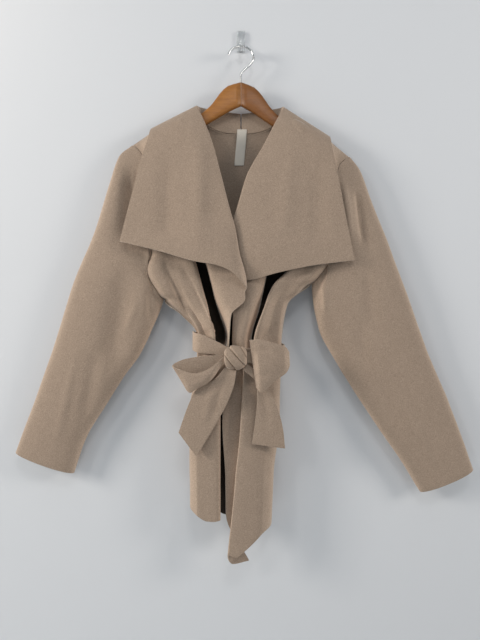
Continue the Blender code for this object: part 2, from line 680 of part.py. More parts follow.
# ================================================================== belt, knot, loops, tails
def belt_grid():
    turns = np.linspace(-180, 180, BELT_COLUMNS + 1)[:-1]
    edges = through([row[0] for row in BELT_EDGES], [row[1:] for row in BELT_EDGES], turns)
    grid = []
    for share in np.linspace(0, 1, BELT_LINES):
        ring = []
        for turn, (upper, lower) in zip(np.radians(turns), edges):
            across, depth = math.cos(turn), math.sin(turn)
            size = (abs(across) ** BELT_POWER + abs(depth) ** BELT_POWER) ** (-1 / BELT_POWER)
            ring.append(np.array((BELT_MIDDLE[0] + BELT_HALF[0] * size * across,
                                  BELT_MIDDLE[1] + BELT_HALF[1] * size * depth,
                                  upper + (lower - upper) * share)))
        grid.append(ring)
    return np.array(grid)


def strip_grid(table):
    """A strip of the belt, ruled between its upper and its lower edge."""
    table = np.array(table, float)
    upper = flowing(table[:, :3], SPAN_ROWS)
    lower = flowing(table[:, 3:], SPAN_ROWS)
    share = np.linspace(0, 1, STRIP_LINES)[:, None]
    return np.array([high + (low - high) * share for high, low in zip(upper, lower)])


def make_knot(name, finish, home):
    """The knot: a rounded lump with a slanting furrow between one turn of the belt and the next."""
    rings = []
    ring_count, point_count = KNOT_MESH
    for way in np.linspace(KNOT_END, 1 - KNOT_END, ring_count) * math.pi:
        ring = []
        for turn in np.linspace(0, 2 * math.pi, point_count, endpoint=False):
            wrap = KNOT_WRAPS * (way / math.pi - KNOT_SLANT * math.sin(turn))
            furrow = math.sqrt(abs(math.sin(math.pi * wrap)))
            size = math.sin(way) ** KNOT_BLUNT
            reach = (KNOT_HALF[1] - KNOT_GROOVE * (1 - furrow)) * size
            height = (KNOT_HALF[2] - KNOT_GROOVE * (1 - furrow)) * size
            ring.append((KNOT_MIDDLE[0] - KNOT_HALF[0] * math.cos(way),
                         KNOT_MIDDLE[1] + reach * math.cos(turn),
                         KNOT_MIDDLE[2] + height * math.sin(turn)))
        rings.append(ring)
    return closed_loft(name, rings, finish, home)


# ================================================================== hanger and wall hook
def make_arm(name, side, finish, home):
    """One contoured wooden arm, rounded along its top and its lower edge."""
    rows = through(range(len(ARM)), ARM, steps(len(ARM), ARM_ROWS))
    lean = math.tan(math.radians(ARM_TILT))
    rings = []
    for top_x, top_z, low_x, low_z in rows:
        ring = []
        for turn in (np.arange(ARM_POINTS) + 0.5) * 2 * math.pi / ARM_POINTS:
            up, out = math.cos(turn), math.sin(turn)
            up = math.copysign(abs(up) ** ARM_SQUARE[0], up)
            out = math.copysign(abs(out) ** ARM_SQUARE[1], out)
            share = (1 - up) / 2
            across = side * (top_x + (low_x - top_x) * share)
            ring.append((across, HANGER_PLANE + WOOD_THICK / 2 * out,
                         top_z + (low_z - top_z) * share - lean * across))
        rings.append(ring)
    return closed_loft(name, rings, finish, home)


def make_wire(name, points, radius, finish, home):
    """A round wire or peg: a curve with a bevel and filled caps."""
    line = bpy.data.curves.new(name, "CURVE")
    line.dimensions = "3D"
    line.bevel_depth = radius * MM
    line.bevel_resolution = 2
    line.use_fill_caps = True
    spline = line.splines.new("POLY")
    spline.points.add(len(points) - 1)
    for point, target in zip(spline.points, points):
        point.co = (target[0] * MM, target[1] * MM, target[2] * MM, 1.0)
    line.materials.append(finish)
    made = bpy.data.objects.new(name, line)
    home.objects.link(made)
    return made


def make_hanger_hook(name, finish, home):
    points = flowing([(x, HANGER_PLANE, z) for x, z in HOOK_WIRE], HOOK_STEPS)
    return make_wire(name, points, WIRE_RADIUS, finish, home)


def make_wall_hook(name, finish, home, cutters):
    """A small plate on the wall with an upturned peg, in one piece."""
    bpy.ops.mesh.primitive_cube_add(size=1)
    plate = bpy.context.object
    plate.name = name
    for holder in list(plate.users_collection):
        holder.objects.unlink(plate)
    home.objects.link(plate)
    for vertex in plate.data.vertices:
        for axis in range(3):
            vertex.co[axis] *= PLATE_SIZE[axis] * MM
        vertex.co[1] -= PLATE_SIZE[1] / 2 * MM
    plate.data.materials.append(finish)
    points = flowing([(0, y, z) for y, z in PEG_PATH], PEG_STEPS)
    peg = make_wire(name + "_peg_curve", points, PEG_RADIUS, finish, cutters)
    bpy.context.view_layer.update()
    evaluated = peg.evaluated_get(bpy.context.evaluated_depsgraph_get())
    solid = bpy.data.meshes.new_from_object(evaluated)
    weld = bmesh.new()
    weld.from_mesh(solid)
    bmesh.ops.remove_doubles(weld, verts=weld.verts, dist=WELD * MM)
    weld.to_mesh(solid)
    weld.free()
    bpy.data.objects.remove(peg)
    added = bpy.data.objects.new(name + "_peg", solid)
    added.hide_render = True
    added.display_type = "WIRE"
    cutters.objects.link(added)
    join = plate.modifiers.new("peg", "BOOLEAN")
    join.operation = "UNION"
    join.solver = "EXACT"
    join.object = added
    return plate


# ================================================================== build
def clear_scene():
    for old in list(bpy.data.objects):
        bpy.data.objects.remove(old, do_unlink=True)


def build():
    clear_scene()
    home = bpy.data.collections.new(OBJECT_NAME)
    bpy.context.scene.collection.children.link(home)
    cloth = material("taupe_cloth", (0.52, 0.42, 0.34), 0.85)
    label = material("label_tape", (0.82, 0.80, 0.74), 0.7)
    wood = material("varnished_wood", (0.52, 0.24, 0.07), 0.35)
    chrome = material("chrome_wire", (0.62, 0.62, 0.62), 0.15, metallic=1.0)
    clear = material("clear_plastic", (0.9, 0.92, 0.93), 0.1, alpha=0.35)
    cutters = bpy.data.collections.new("joined_shapes")
    bpy.context.scene.collection.children.link(cutters)
    sheet("neck_label", [label_grid()], label, home, thick=LABEL_THICK)
    sheet("belt", [belt_grid()], cloth, home, closed=True)
    make_knot("bow_knot", cloth, home)
    sheet("bow_loop_right", [strip_grid(LOOP_RIGHT)], cloth, home)
    sheet("bow_loop_left", [strip_grid(LOOP_LEFT)], cloth, home)
    sheet("belt_tail_right", [strip_grid(TAIL_RIGHT)], cloth, home)
    sheet("belt_tail_left", [strip_grid(TAIL_LEFT)], cloth, home)
    make_arm("hanger_arm_right", -1.0, wood, home)
    make_arm("hanger_arm_left", 1.0, wood, home)
    make_hanger_hook("hanger_hook", chrome, home)
    make_wall_hook("wall_hook", clear, home, cutters)
    make_sleeve("sleeve_right", SLEEVE_RIGHT, cloth, home)
    make_sleeve("sleeve_left", SLEEVE_LEFT, cloth, home)
    right = make_front("front_right", FRONT_RIGHT, HEM_RIGHT, SLEEVE_RIGHT, LAPEL_RIGHT,
                       cloth, home)
    left = make_front("front_left", FRONT_LEFT, HEM_LEFT, SLEEVE_LEFT, LAPEL_LEFT, cloth, home)
    sheet("back", [back_grid(right, left)], cloth, home)


build()
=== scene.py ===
"""Looks of the belted jacket on its hanger: cloth shells with their folds, finishes, light, camera.

Shapes are worked out in millimetres from the tables of the part's own source, and stand in its
frame: the wall is the plane y = 0, +Z is up and +X is the wearer's left.  The right sleeve's inner
contour is narrower here, and the curved armhole seams, the sharp lapel corners and the creases are
added.
"""
import math

import bmesh
import bpy
import numpy as np
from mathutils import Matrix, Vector, noise


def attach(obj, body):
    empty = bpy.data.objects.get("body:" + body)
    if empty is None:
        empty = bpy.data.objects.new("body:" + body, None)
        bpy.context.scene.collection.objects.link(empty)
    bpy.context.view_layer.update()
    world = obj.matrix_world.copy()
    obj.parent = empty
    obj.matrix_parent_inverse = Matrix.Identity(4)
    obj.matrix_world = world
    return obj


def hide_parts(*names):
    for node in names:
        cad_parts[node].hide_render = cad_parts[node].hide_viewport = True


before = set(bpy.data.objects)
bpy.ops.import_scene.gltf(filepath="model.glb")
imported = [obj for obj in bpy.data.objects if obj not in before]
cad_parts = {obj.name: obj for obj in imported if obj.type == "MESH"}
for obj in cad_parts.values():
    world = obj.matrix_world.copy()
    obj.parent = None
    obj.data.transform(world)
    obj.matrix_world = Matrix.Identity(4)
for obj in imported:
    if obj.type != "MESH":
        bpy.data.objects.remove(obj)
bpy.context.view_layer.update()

MM = 0.001

# ------------------------------------------------------------------ driving dimensions (mm)
CLOTH = 2.0                # thickness of the double-faced cloth
SEAM = 1.3                 # from one piece's middle surface to the next across a seam
SPAN_COLUMNS = 10          # mesh columns between two stations of a section
SPAN_ROWS = 9              # mesh rows between two sections
TURN_ROWS = 5              # mesh rows between two of the lines that turn over the hanger
HANGER_PLANE = -30.0       # y of the hanger, and of the shoulder seams on it
CENTRE_BACK = 1.1          # x of each collar half at the centre back seam
STAND_COLUMNS = 9          # mesh columns of the collar stand, from the neck seam to the roll
BELT_HALF = (92.0, 46.0)   # half the belt ring's width and depth
BELT_MIDDLE = (-4.5, -52.0)  # x and y
BELT_POWER = 2.7           # squareness of the belt ring
LABEL_SIZE = (20.0, 75.0)  # width and length of the neck tape
LABEL_THICK = 0.7
WELD = 0.01                # points nearer than this are one point
WIRE_RADIUS = 1.9          # hanger hook wire
WOOD_THICK = 13.0          # hanger arm, front to back
PLATE_SIZE = (17.0, 4.0, 44.0)  # wall hook plate: width, thickness, height
PEG_RADIUS = 3.0
PEG_STEPS = 12             # steps of the peg between two points of its path
PEG_PATH = ((-3, -6), (-12, -20), (-22, -29), (-32, -31.4), (-38, -28), (-41, -19))  # y and z

# ------------------------------------------------------------------ sleeves
# A row for each section: the sleeve's outer and inner contour as seen from the front, the half
# depth there, and y of the section's middle.
# columns: outer_x, outer_z, inner_x, inner_z, half_depth, middle_y
SLEEVE_RIGHT = (
    (-224, -232, -160, -546, 26, -30),
    (-247, -250, -166, -566, 27, -31),
    (-269, -308, -183, -606, 28, -32),
    (-304, -420, -207, -657, 28, -32),
    (-346, -523, -244, -710, 27, -32),
    (-384, -645, -283, -771, 25, -31),
    (-424, -757, -320, -833, 23, -29),
    (-464, -863, -346, -905, 20, -28),
)
SLEEVE_LEFT = (
    (224, -256, 147, -514, 26, -30),
    (242, -279, 149, -552, 27, -31),
    (264, -338, 160, -606, 28, -32),
    (299, -427, 199, -680, 28, -32),
    (341, -541, 250, -762, 27, -32),
    (384, -658, 291, -822, 25, -31),
    (431, -770, 332, -882, 23, -29),
    (478, -898, 370, -944, 20, -28),
)
SEAM_ANGLE = 1.0           # where front and back stop short of each other on the armhole, degrees
SLEEVE_POINTS = 108        # mesh columns round a sleeve
ARMHOLE_EASE = 0.9         # the seam's gap is this share wider at the underarm
ARMHOLE_EASE_POWER = 6     # and how close to the underarm that begins
ARMHOLE_REACH = 3          # stations of a section that are drawn over to the armhole
ARMHOLE_END = 2.0          # the armhole ends this far below the sleeve's lowest point
# How far the armhole seam swings towards the body (over 0) or the sleeve, by the angle round it.
ARMHOLE_SWING = ((-180, 0), (-90, 0), (0, 0), (38, 19), (72, 9), (107, 2), (128, -20),
                 (152, -9), (180, 0))
SWING_REACH = 1.6          # the swing dies out over this many sections of the sleeve
CONTOUR_POWER = 0.9        # squareness of a sleeve section across
DEPTH_POWER = 0.75         # and front to back
SLEEVE_ROUNDNESS = 1.45    # how much fuller the middle of a sleeve stands than its edges

# ------------------------------------------------------------------ roll line and outer edge
# A row for each line from the roll to the outer edge of lapel and collar, from the break up over
# the shoulder to the centre back.  "puff" is how far the cloth swells forward between them.
# columns: roll_x, roll_y, roll_z, edge_x, edge_y, edge_z, puff
LAPEL_RIGHT = (
    (11, -92, -529, 8, -101, -526, 0),
    (9, -92, -508, -17, -106, -498, 1),
    (4, -91, -487, -47, -106, -485, 2),
    (-3, -89, -463, -87, -103, -478, 3),
    (-13, -84, -407, -156, -93, -457, 5),
    (-22, -80, -375, -238, -78, -436, 6),
    (-41, -74, -301, -217, -72, -346, 6),
    (-59, -65, -233, -198, -68, -270, 6),
    (-78, -50, -182, -186, -58, -225, 5),
    (-92, -32, -150, -182, -34, -198, 0),
    (-88, -18, -146, -170, -4.5, -211, 0),
    (-52, -10, -151, -96, -4.5, -258, 0),
    (-1.1, -8, -157, -1.1, -4.5, -268, 0),
)
LAPEL_LEFT = (
    (-20, -68, -521, -16, -74, -519, 0),
    (-21, -69, -500, 0, -77, -513, 0),
    (-22, -70, -470, 28, -81, -510, 1),
    (-21, -71, -440, 62, -83, -500, 3),
    (-16, -73, -395, 143, -83, -483, 5),
    (-8, -73, -372, 224, -74, -472, 6),
    (14, -70, -299, 205, -70, -372, 6),
    (42, -63, -249, 190, -67, -290, 6),
    (70, -50, -191, 182, -58, -242, 5),
    (88, -32, -153, 180, -34, -214, 0),
    (86, -18, -147, 168, -4.5, -225, 0),
    (52, -10, -151, 96, -4.5, -258, 0),
    (1.1, -8, -157, 1.1, -4.5, -268, 0),
)
CORNER_ROW = 5             # the row of both tables at the lapel's corner
CORNER_REACH = 7           # over 1 keeps the sharp corner near the lapel's edge
TOP_ROW = 9                # the row of both tables that lies over the shoulder
LAPEL_SPAN_ROWS = 9        # mesh rows between two rows of these tables behind the shoulder
ROLL_STEPS = 20            # steps of the roll line between two rows, when a height is looked up
LAPEL_WIDTH_COLUMNS = 42   # mesh columns from the roll to the edge
ROLL_HASTE = 2.5           # how soon past the roll the cloth reaches the edge's depth
ROLL_CROWD = 1.35          # how much closer the mesh columns lie at the roll
PUFF_LEAN = 0.7            # under 1 puts the swelling nearer to the roll
SHOULDER_TOP = -215.0      # creases of a lapel die out up to this height
SHOULDER_FADE = 40.0       # over this length below it

# ------------------------------------------------------------------ fronts
# Each front is a loft through sections.  A section runs from the side seam over small pleats to
# the lip of the deep fold, the hollow behind the lip, its floor and the way out, the crest of the
# rolled part, the place where it turns under, and the free edge or the roll line.
STATIONS = ("side", "pleat", "tuck", "lip", "hollow", "floor", "rise", "crest", "under", "edge")
# level, then z at the side and at the edge, then x and y of each station
FRONT_RIGHT = (
    ("yoke", -300, -300, (-200, -52), (-182, -60), (-164, -61), (-146, -62), (-132, -60),
     (-118, -60), (-102, -62), (-84, -64), (-62, -66), (-41, -73)),
    ("chest", -400, -400, (-190, -56), (-172, -63), (-152, -63), (-122, -68), (-122, -48),
     (-106, -46), (-98, -64), (-72, -68), (-42, -74), (-15, -83)),
    ("bust", -478, -478, (-178, -46), (-160, -60), (-132, -60), (-92, -68), (-96, -22),
     (-72, -19), (-68, -60), (-48, -72), (-24, -80), (2, -90)),
    ("underarm", -547, -547, (-158, -32), (-140, -54), (-112, -52), (-73, -71), (-77, -22),
     (-55, -19), (-51, -58), (-38, -76), (-16, -87), (8, -93)),
    ("rib", -580, -580, (-120, -38), (-106, -58), (-88, -54), (-63, -79), (-66, -31),
     (-45, -27), (-40, -56), (-34, -74), (-27, -86), (-19.5, -94)),
    ("waist", -620, -626, (-88, -46), (-84, -64), (-70, -64), (-50, -86), (-54, -35),
     (-34, -31), (-28, -50), (-26, -68), (-25, -82), (-23.5, -92)),
    ("below_belt", -672, -676, (-87, -44), (-87, -62), (-78, -66), (-62, -80), (-59, -60),
     (-47, -57), (-40, -66), (-36, -74), (-31, -80), (-26, -88)),
    ("hip", -780, -784, (-86, -28), (-102, -46), (-100, -64), (-86, -78), (-77, -80),
     (-69, -80.5), (-61, -81), (-54, -81), (-47, -80), (-41, -76)),
    ("thigh", -880, -890, (-86, -26), (-102, -44), (-101, -62), (-87, -78), (-78, -80),
     (-70, -81), (-62, -82), (-54, -82), (-47, -81), (-41, -77)),
    ("knee", -914, -940, (-85, -26), (-101, -43), (-100, -61), (-87, -77), (-78, -80),
     (-70, -81), (-62, -82), (-54, -82), (-47, -81), (-41, -77)),
    ("hem", -944, -984, (-84, -26), (-100, -43), (-100, -61), (-86, -77), (-77, -80),
     (-69, -81), (-62, -82), (-54, -82), (-47, -81), (-41, -77)),
)
FRONT_LEFT = (
    ("yoke", -300, -300, (200, -52), (182, -60), (164, -61), (144, -62), (126, -60),
     (108, -60), (90, -62), (66, -64), (40, -66), (14, -70)),
    ("chest", -400, -400, (184, -56), (168, -63), (150, -63), (122, -68), (122, -46),
     (96, -44), (86, -62), (52, -66), (16, -69), (-17, -75)),
    ("bust", -474, -478, (162, -46), (148, -58), (130, -60), (104, -66), (108, -22),
     (62, -19), (54, -56), (30, -70), (2, -70), (-22, -73)),
    ("underarm", -513, -545, (144, -32), (124, -56), (98, -60), (64, -68), (68, -22),
     (47, -19), (42, -58), (24, -76), (0, -74), (-16, -70)),
    ("rib", -556, -580, (95, -38), (84, -58), (68, -62), (47, -79), (51, -29),
     (37, -26), (33, -58), (18, -80), (0, -83), (-16, -80)),
    ("waist", -632, -628, (81, -46), (74, -62), (54, -68), (27, -86), (31, -36),
     (21, -32), (18, -60), (6, -85), (-8, -85), (-17, -80)),
    ("below_belt", -680, -680, (80, -44), (78, -60), (64, -70), (42, -80), (35, -67),
     (25, -66), (14, -77), (5, -84), (7, -69), (-18, -74)),
    ("hip", -780, -790, (66, -26), (77, -46), (70, -66), (52, -80), (43, -83),
     (32, -85), (17, -87), (0, -85), (7, -68), (-37, -72)),
    ("thigh", -890, -900, (58, -26), (66, -46), (60, -66), (44, -80), (35, -83),
     (22, -86), (6, -88), (-10, -86), (-3, -68), (-31, -72)),
    ("knee", -945, -975, (55, -26), (63, -46), (58, -65), (43, -79), (32, -83),
     (16, -86), (0, -88), (-17, -86), (-9, -68), (-30, -71)),
    ("hem", -996, -1066, (52, -26), (61, -46), (56, -64), (42, -78), (28, -84),
     (10, -87), (-8, -88), (-25, -85), (-18, -74), (16, -65)),
)
# Drop of the hem below the section's own slope, at each station: the points of the uneven hem.
HEM_RIGHT = (0, 12, 13, 17, 18, 17, 13, 9, 4, -1)
HEM_LEFT = (0, -5, -10, -11, -6, 2, 8, -2, 12, 2)

# ------------------------------------------------------------------ shoulders and neck
SHOULDER_DROP = ((0, 0.0), (5, 0.45), (14, 0.8), (34, 1.0))  # way down, share of the depth
SHOULDER_CURVE = 5.0       # rise of the middle of a shoulder seam above a straight line
SHOULDER_SEAM = 1.8        # from the front's middle surface to the back's across it
NECK_SIDE_STAND = 11.0     # height of the collar stand at the side of the neck
NECK_SIDE_OUT = 1.0        # the neck seam's end stands this far outside the roll
NECK_LOW = (-200.0, -13.5)  # z and y of the neck seam at the centre back
NECK_SPREAD = 1.15         # over 1 keeps the neck seam longer at the side of the neck
NECK_HASTE = 0.27          # how soon the neck seam leaves the hanger for the back
NECK_FALL = 2.5            # how soon it drops to its lowest level
NECK_CENTRE = (0.0, -140.0)  # x and z of the middle of the neck opening

# ------------------------------------------------------------------ back
# The same sections as the fronts': how deep the gathers are, and y where the back hangs plumb.
# columns: level, gather, plumb
BACK = (
    ("yoke", 0, -9),
    ("chest", 0, -9),
    ("bust", 1, -9),
    ("underarm", 3, -9),
    ("rib", 8, -9),
    ("waist", 13, -8.6),
    ("below_belt", 12, -8.6),
    ("hip", 10, -9),
    ("thigh", 11, -9),
    ("knee", 11, -9),
    ("hem", 11, -9),
)
UNDERARM_ROW = 3           # the row of this table at the underarm
BACK_DROP = 38.0           # how much lower the back's hem hangs in the middle
SIDE_SEAM = 2.8            # from the front's middle surface to the back's at the side seams
SIDE_TURN = 4.0            # how sharply the back turns forward to its side seams
BACK_GATHERS = 5           # pleats across the back at the waist
BACK_COLUMNS = 132         # mesh columns across the back
# The neck tape's middle line; columns: way down it, x, y, z.
LABEL_ROWS = ((0, 2, -14.6, -191), (10, 1.5, -15.4, -201), (24, 0.6, -14.0, -215),
              (45, -1.5, -12.3, -236), (75, -4, -11.6, -266))
LABEL_LINES = 30           # mesh rows of the tape

# ------------------------------------------------------------------ belt, bow and tails
# Each bow piece is a ruled strip between an upper and a lower edge; a row for each line across.
# columns: upper_x, upper_y, upper_z, lower_x, lower_y, lower_z
LOOP_RIGHT = (
    (-33, -114, -660, -33.2, -112.5, -670),
    (-58, -120, -680, -58, -114, -704),
    (-84, -119, -690, -86, -113, -721),
    (-112, -112, -685, -97, -107, -728),
    (-131, -106, -677, -105, -102.5, -718),
    (-112, -101, -666, -88, -100, -704),
    (-80, -100, -660, -66, -100, -688),
    (-34.2, -103, -656, -34.2, -103, -667),
)
LOOP_LEFT = (
    (16.0, -116, -628, 29, -114, -718),
    (34, -121.0, -626, 40, -118, -726),
    (62, -118, -633, 62, -115, -706),
    (82, -111, -640, 85, -109, -690),
    (91, -104, -652, 92, -104, -676),
    (77, -100.5, -645, 82, -100.5, -684),
    (48, -100.5, -640, 56, -100.5, -684),
    (11.6, -107.5, -652, 11.6, -107.5, -670),
)
TAIL_RIGHT = (
    (-30, -109, -679.8, -9, -112.5, -686.2),
    (-54, -102, -706, -13, -108, -712),
    (-86, -99, -724, -22, -106, -738),
    (-100, -96, -750, -34, -101, -764),
    (-112, -93, -782, -58, -98, -806),
    (-121, -90, -808, -86, -94, -853),
)
TAIL_LEFT = (
    (3, -111.5, -683.1, 11.6, -106.5, -673.4),
    (29, -104.5, -708, 44, -101, -700),
    (31, -103, -732, 54, -99, -726),
    (30, -101, -757, 69, -97, -756),
    (26, -99, -792, 80, -95, -796),
    (21, -97, -828, 85, -93, -838),
)
# The belt's upper and lower edge round the ring; angle 0 is the wearer's left, -90 the front.
BELT_EDGES = ((-180, -612, -645), (-140, -617, -654), (-115, -632, -657), (-100, -643, -668),
              (-85, -644, -674), (-70, -644, -674), (-40, -640, -672), (0, -640, -674),
              (90, -622, -658), (180, -612, -645))
BELT_COLUMNS = 200
BELT_LINES = 17            # mesh rows of the belt
STRIP_LINES = 22           # mesh columns across a loop or a tail
KNOT_MIDDLE = (-10.5, -113.3, -661)
KNOT_HALF = (22, 14, 23.5)
KNOT_WRAPS = 3             # turns of the belt that show on the knot
KNOT_SLANT = -0.26         # share of the knot's length by which the turns slant
KNOT_END = 0.06            # share of the way round at which the knot is cut flat
KNOT_BLUNT = 0.55          # under 1 makes its ends blunter
KNOT_START = 0.35          # where the first turn of the knot begins
KNOT_TUCK = 0.22           # share of a turn that rises out of the furrow
KNOT_FALL = 0.45           # how much lower a turn lies where the next one laps over it
KNOT_FURROW = 6.0          # depth of the furrow between two turns
KNOT_SWELL = 1.0           # how far a turn stands out past the knot's half size
KNOT_MESH = (70, 110)      # rings and points of a ring

# ------------------------------------------------------------------ hanger
# Sections of a wooden arm from the middle joint to the tip: its top and its lower outline.
# columns: top_x, top_z, low_x, low_z
ARM = (
    (0.15, -101, 0.15, -149),
    (27, -110, 22, -160),
    (44, -127, 38, -170),
    (58, -147, 54, -180),
    (72, -162, 70, -190),
    (104, -184, 100, -208),
    (150, -209, 147, -234),
    (203, -236, 201, -255),
)
ARM_TILT = 3.0             # degrees that the hanger hangs lower on the wearer's left
ARM_ROWS = 2               # sections of a wooden arm between two points of its outline
ARM_POINTS = 12            # points round a section
ARM_SQUARE = (0.6, 0.5)    # squareness of a section up and out; 1 is round
HOOK_STEPS = 10            # steps of the wire between two points of its path
HOOK_WIRE = ((-26, -43), (-21, -34), (-12, -28), (0, -26), (13, -29), (22, -37), (26, -50),
             (21, -61), (12, -70), (4, -77), (0, -84), (0, -101.2))


# ================================================================== curves and surfaces
def slopes(knots, values):
    """Tangents of a smooth curve that does not overshoot its own points."""
    step = np.diff(knots)
    rise = np.diff(values, axis=0) / step[:, None]
    tangent = np.zeros_like(values)
    tangent[0] = rise[0]
    tangent[-1] = rise[-1]
    for row in range(1, len(knots) - 1):
        before = rise[row - 1]
        after = rise[row]
        weight = before * after > 0
        total = np.where(weight, before + after, 1.0)
        tangent[row] = np.where(weight, 2.0 * before * after / total, 0.0)
    return tangent


def smooth(share):
    share = np.clip(share, 0, 1)
    return share * share * (3 - 2 * share)


def spanned(s, start, leave, end, arrive):
    """The point at s of a cubic from start to end, with its pull at either end."""
    return ((2 * s ** 3 - 3 * s ** 2 + 1) * start + (s ** 3 - 2 * s ** 2 + s) * leave
            + (-2 * s ** 3 + 3 * s ** 2) * end + (s ** 3 - s ** 2) * arrive)


def through(knots, values, places):
    """Values at the given places of the smooth curve through values at knots."""
    knots = np.asarray(knots, float)
    values = np.asarray(values, float)
    flat = values.reshape(len(knots), -1)
    tangent = slopes(knots, flat)
    found = []
    for place in places:
        span = int(np.clip(np.searchsorted(knots, place) - 1, 0, len(knots) - 2))
        width = knots[span + 1] - knots[span]
        found.append(spanned((place - knots[span]) / width, flat[span], width * tangent[span],
                             flat[span + 1], width * tangent[span + 1]))
    return np.array(found).reshape((len(found),) + values.shape[1:])


def flowing(points, per_span):
    """A rounded curve through points, with the same number of steps in each span."""
    points = np.asarray(points, float)
    tangent = np.zeros_like(points)
    tangent[1:-1] = (points[2:] - points[:-2]) / 2.0
    tangent[0] = points[1] - points[0]
    tangent[-1] = points[-1] - points[-2]
    line = []
    for span in range(len(points) - 1):
        length = np.linalg.norm(points[span + 1] - points[span])
        pull = []
        for end in (span, span + 1):
            size = max(np.linalg.norm(tangent[end]), 1e-6)
            pull.append(tangent[end] * min(1.0, length / size))
        for step in range(per_span):
            line.append(spanned(step / per_span, points[span], pull[0], points[span + 1], pull[1]))
    line.append(points[-1])
    return np.array(line)


def steps(rows, per_span):
    """Places along a table of rows, with per_span steps between two rows."""
    return np.linspace(0, rows - 1, (rows - 1) * per_span + 1)


# ================================================================== sleeves and armholes
def sleeve_ring(section, angles):
    """Points of one sleeve section: angle 0 is the outer contour, 180 the inner one, and the
    front of the sleeve lies between them."""
    outer_x, outer_z, inner_x, inner_z, half_depth, middle_y = section
    middle = np.array(((outer_x + inner_x) / 2, middle_y, (outer_z + inner_z) / 2))
    reach = np.array(((outer_x - inner_x) / 2, 0.0, (outer_z - inner_z) / 2))
    turn = np.radians(angles)
    across = np.sign(np.cos(turn)) * np.abs(np.cos(turn)) ** CONTOUR_POWER
    depth = np.sign(np.sin(turn)) * np.abs(np.sin(turn)) ** DEPTH_POWER
    points = middle + across[:, None] * reach
    points[:, 1] -= depth * half_depth
    return points


def armhole_swing(angles, side):
    """How far the armhole seam stands off its plane, at the angles round it."""
    angles = (np.asarray(angles, float) + 180) % 360 - 180
    table = np.array(ARMHOLE_SWING, float)
    return -side * through(table[:, 0], table[:, 1], angles)


def armhole(sections, angles, toward_body):
    """The armhole seam, moved over to the body's side of it."""
    points = sleeve_ring(sections[0], np.asarray(angles, float))
    low = (1 - np.cos(np.radians(np.asarray(angles, float)))) / 2
    points[:, 0] += toward_body * SEAM * (1 + ARMHOLE_EASE * low ** ARMHOLE_EASE_POWER)
    points[:, 0] += armhole_swing(angles, -toward_body)
    return points


def arm_angle(section, height):
    """The angle round a sleeve section at which its contour passes a height."""
    outer_z, inner_z = section[1], section[3]
    share = (height - (outer_z + inner_z) / 2) / ((outer_z - inner_z) / 2)
    share = float(np.clip(share, -1.0, 1.0))
    angle = math.degrees(math.acos(math.copysign(abs(share) ** (1 / CONTOUR_POWER), share)))
    return min(max(angle, SEAM_ANGLE), 180 - SEAM_ANGLE)


def follow_armhole(line, sections, side, front):
    """Draw the start of a section of the body over to the armhole seam."""
    underarm = sections[0][3]
    if line[0, 2] < underarm - ARMHOLE_END:
        return
    angle = front * arm_angle(sections[0], line[0, 2])
    shift = armhole(sections, [angle], -side)[0] - line[0]
    reach = SPAN_COLUMNS * ARMHOLE_REACH
    for column in range(min(reach, len(line))):
        line[column] += shift * smooth(1.0 - column / reach)


# ================================================================== shoulders
def shoulder_line(sections, lapel, count):
    """Points of the shoulder seam, from the armhole to the side of the neck."""
    tip = sleeve_ring(sections[0], np.array([0.0]))[0]
    side = math.copysign(1.0, tip[0])
    roll = np.array(lapel[TOP_ROW][:3], float)
    neck = np.array((roll[0] + NECK_SIDE_OUT * side, HANGER_PLANE, roll[2] - NECK_SIDE_STAND))
    share = np.linspace(0, 1, count)[:, None]
    line = tip + (neck - tip) * share
    line[:, 1] = HANGER_PLANE
    line[:, 2] += SHOULDER_CURVE * np.sin(math.pi * share[:, 0])
    return line


def turn_over_hanger(top, hanging):
    """The lines on which the cloth turns from the hanger arm to hang plumb."""
    turned = []
    for drop, share in SHOULDER_DROP[1:]:
        line = top.copy()
        line[:, 2] -= drop
        line[:, 1] += (hanging[:, 1] - top[:, 1]) * share
        turned.append(line)
    return turned


def row_places(count):
    """Places along a panel's lines: TURN_ROWS between the turned lines, then SPAN_ROWS."""
    turned = len(SHOULDER_DROP)
    over = np.linspace(0, turned, turned * TURN_ROWS + 1)[:-1]
    fine = np.linspace(turned, count - 1, (count - 1 - turned) * SPAN_ROWS + 1)
    return np.concatenate((over, fine))


def roll_curve(lapel, first, last):
    """The roll line between two rows of a lapel table."""
    table = np.array(lapel, float)[:, :3]
    places = np.linspace(first, last, int(round(abs(last - first) * LAPEL_SPAN_ROWS)) + 1)
    return through(range(len(table)), table, places)


def roll_places(lapel, heights):
    """Where along a lapel table the roll line, on its way up to the shoulder, is at each height."""
    places = steps(TOP_ROW + 1, ROLL_STEPS)
    rise = through(range(len(lapel)), [row[2] for row in lapel], places)
    return np.interp(heights, rise, places)


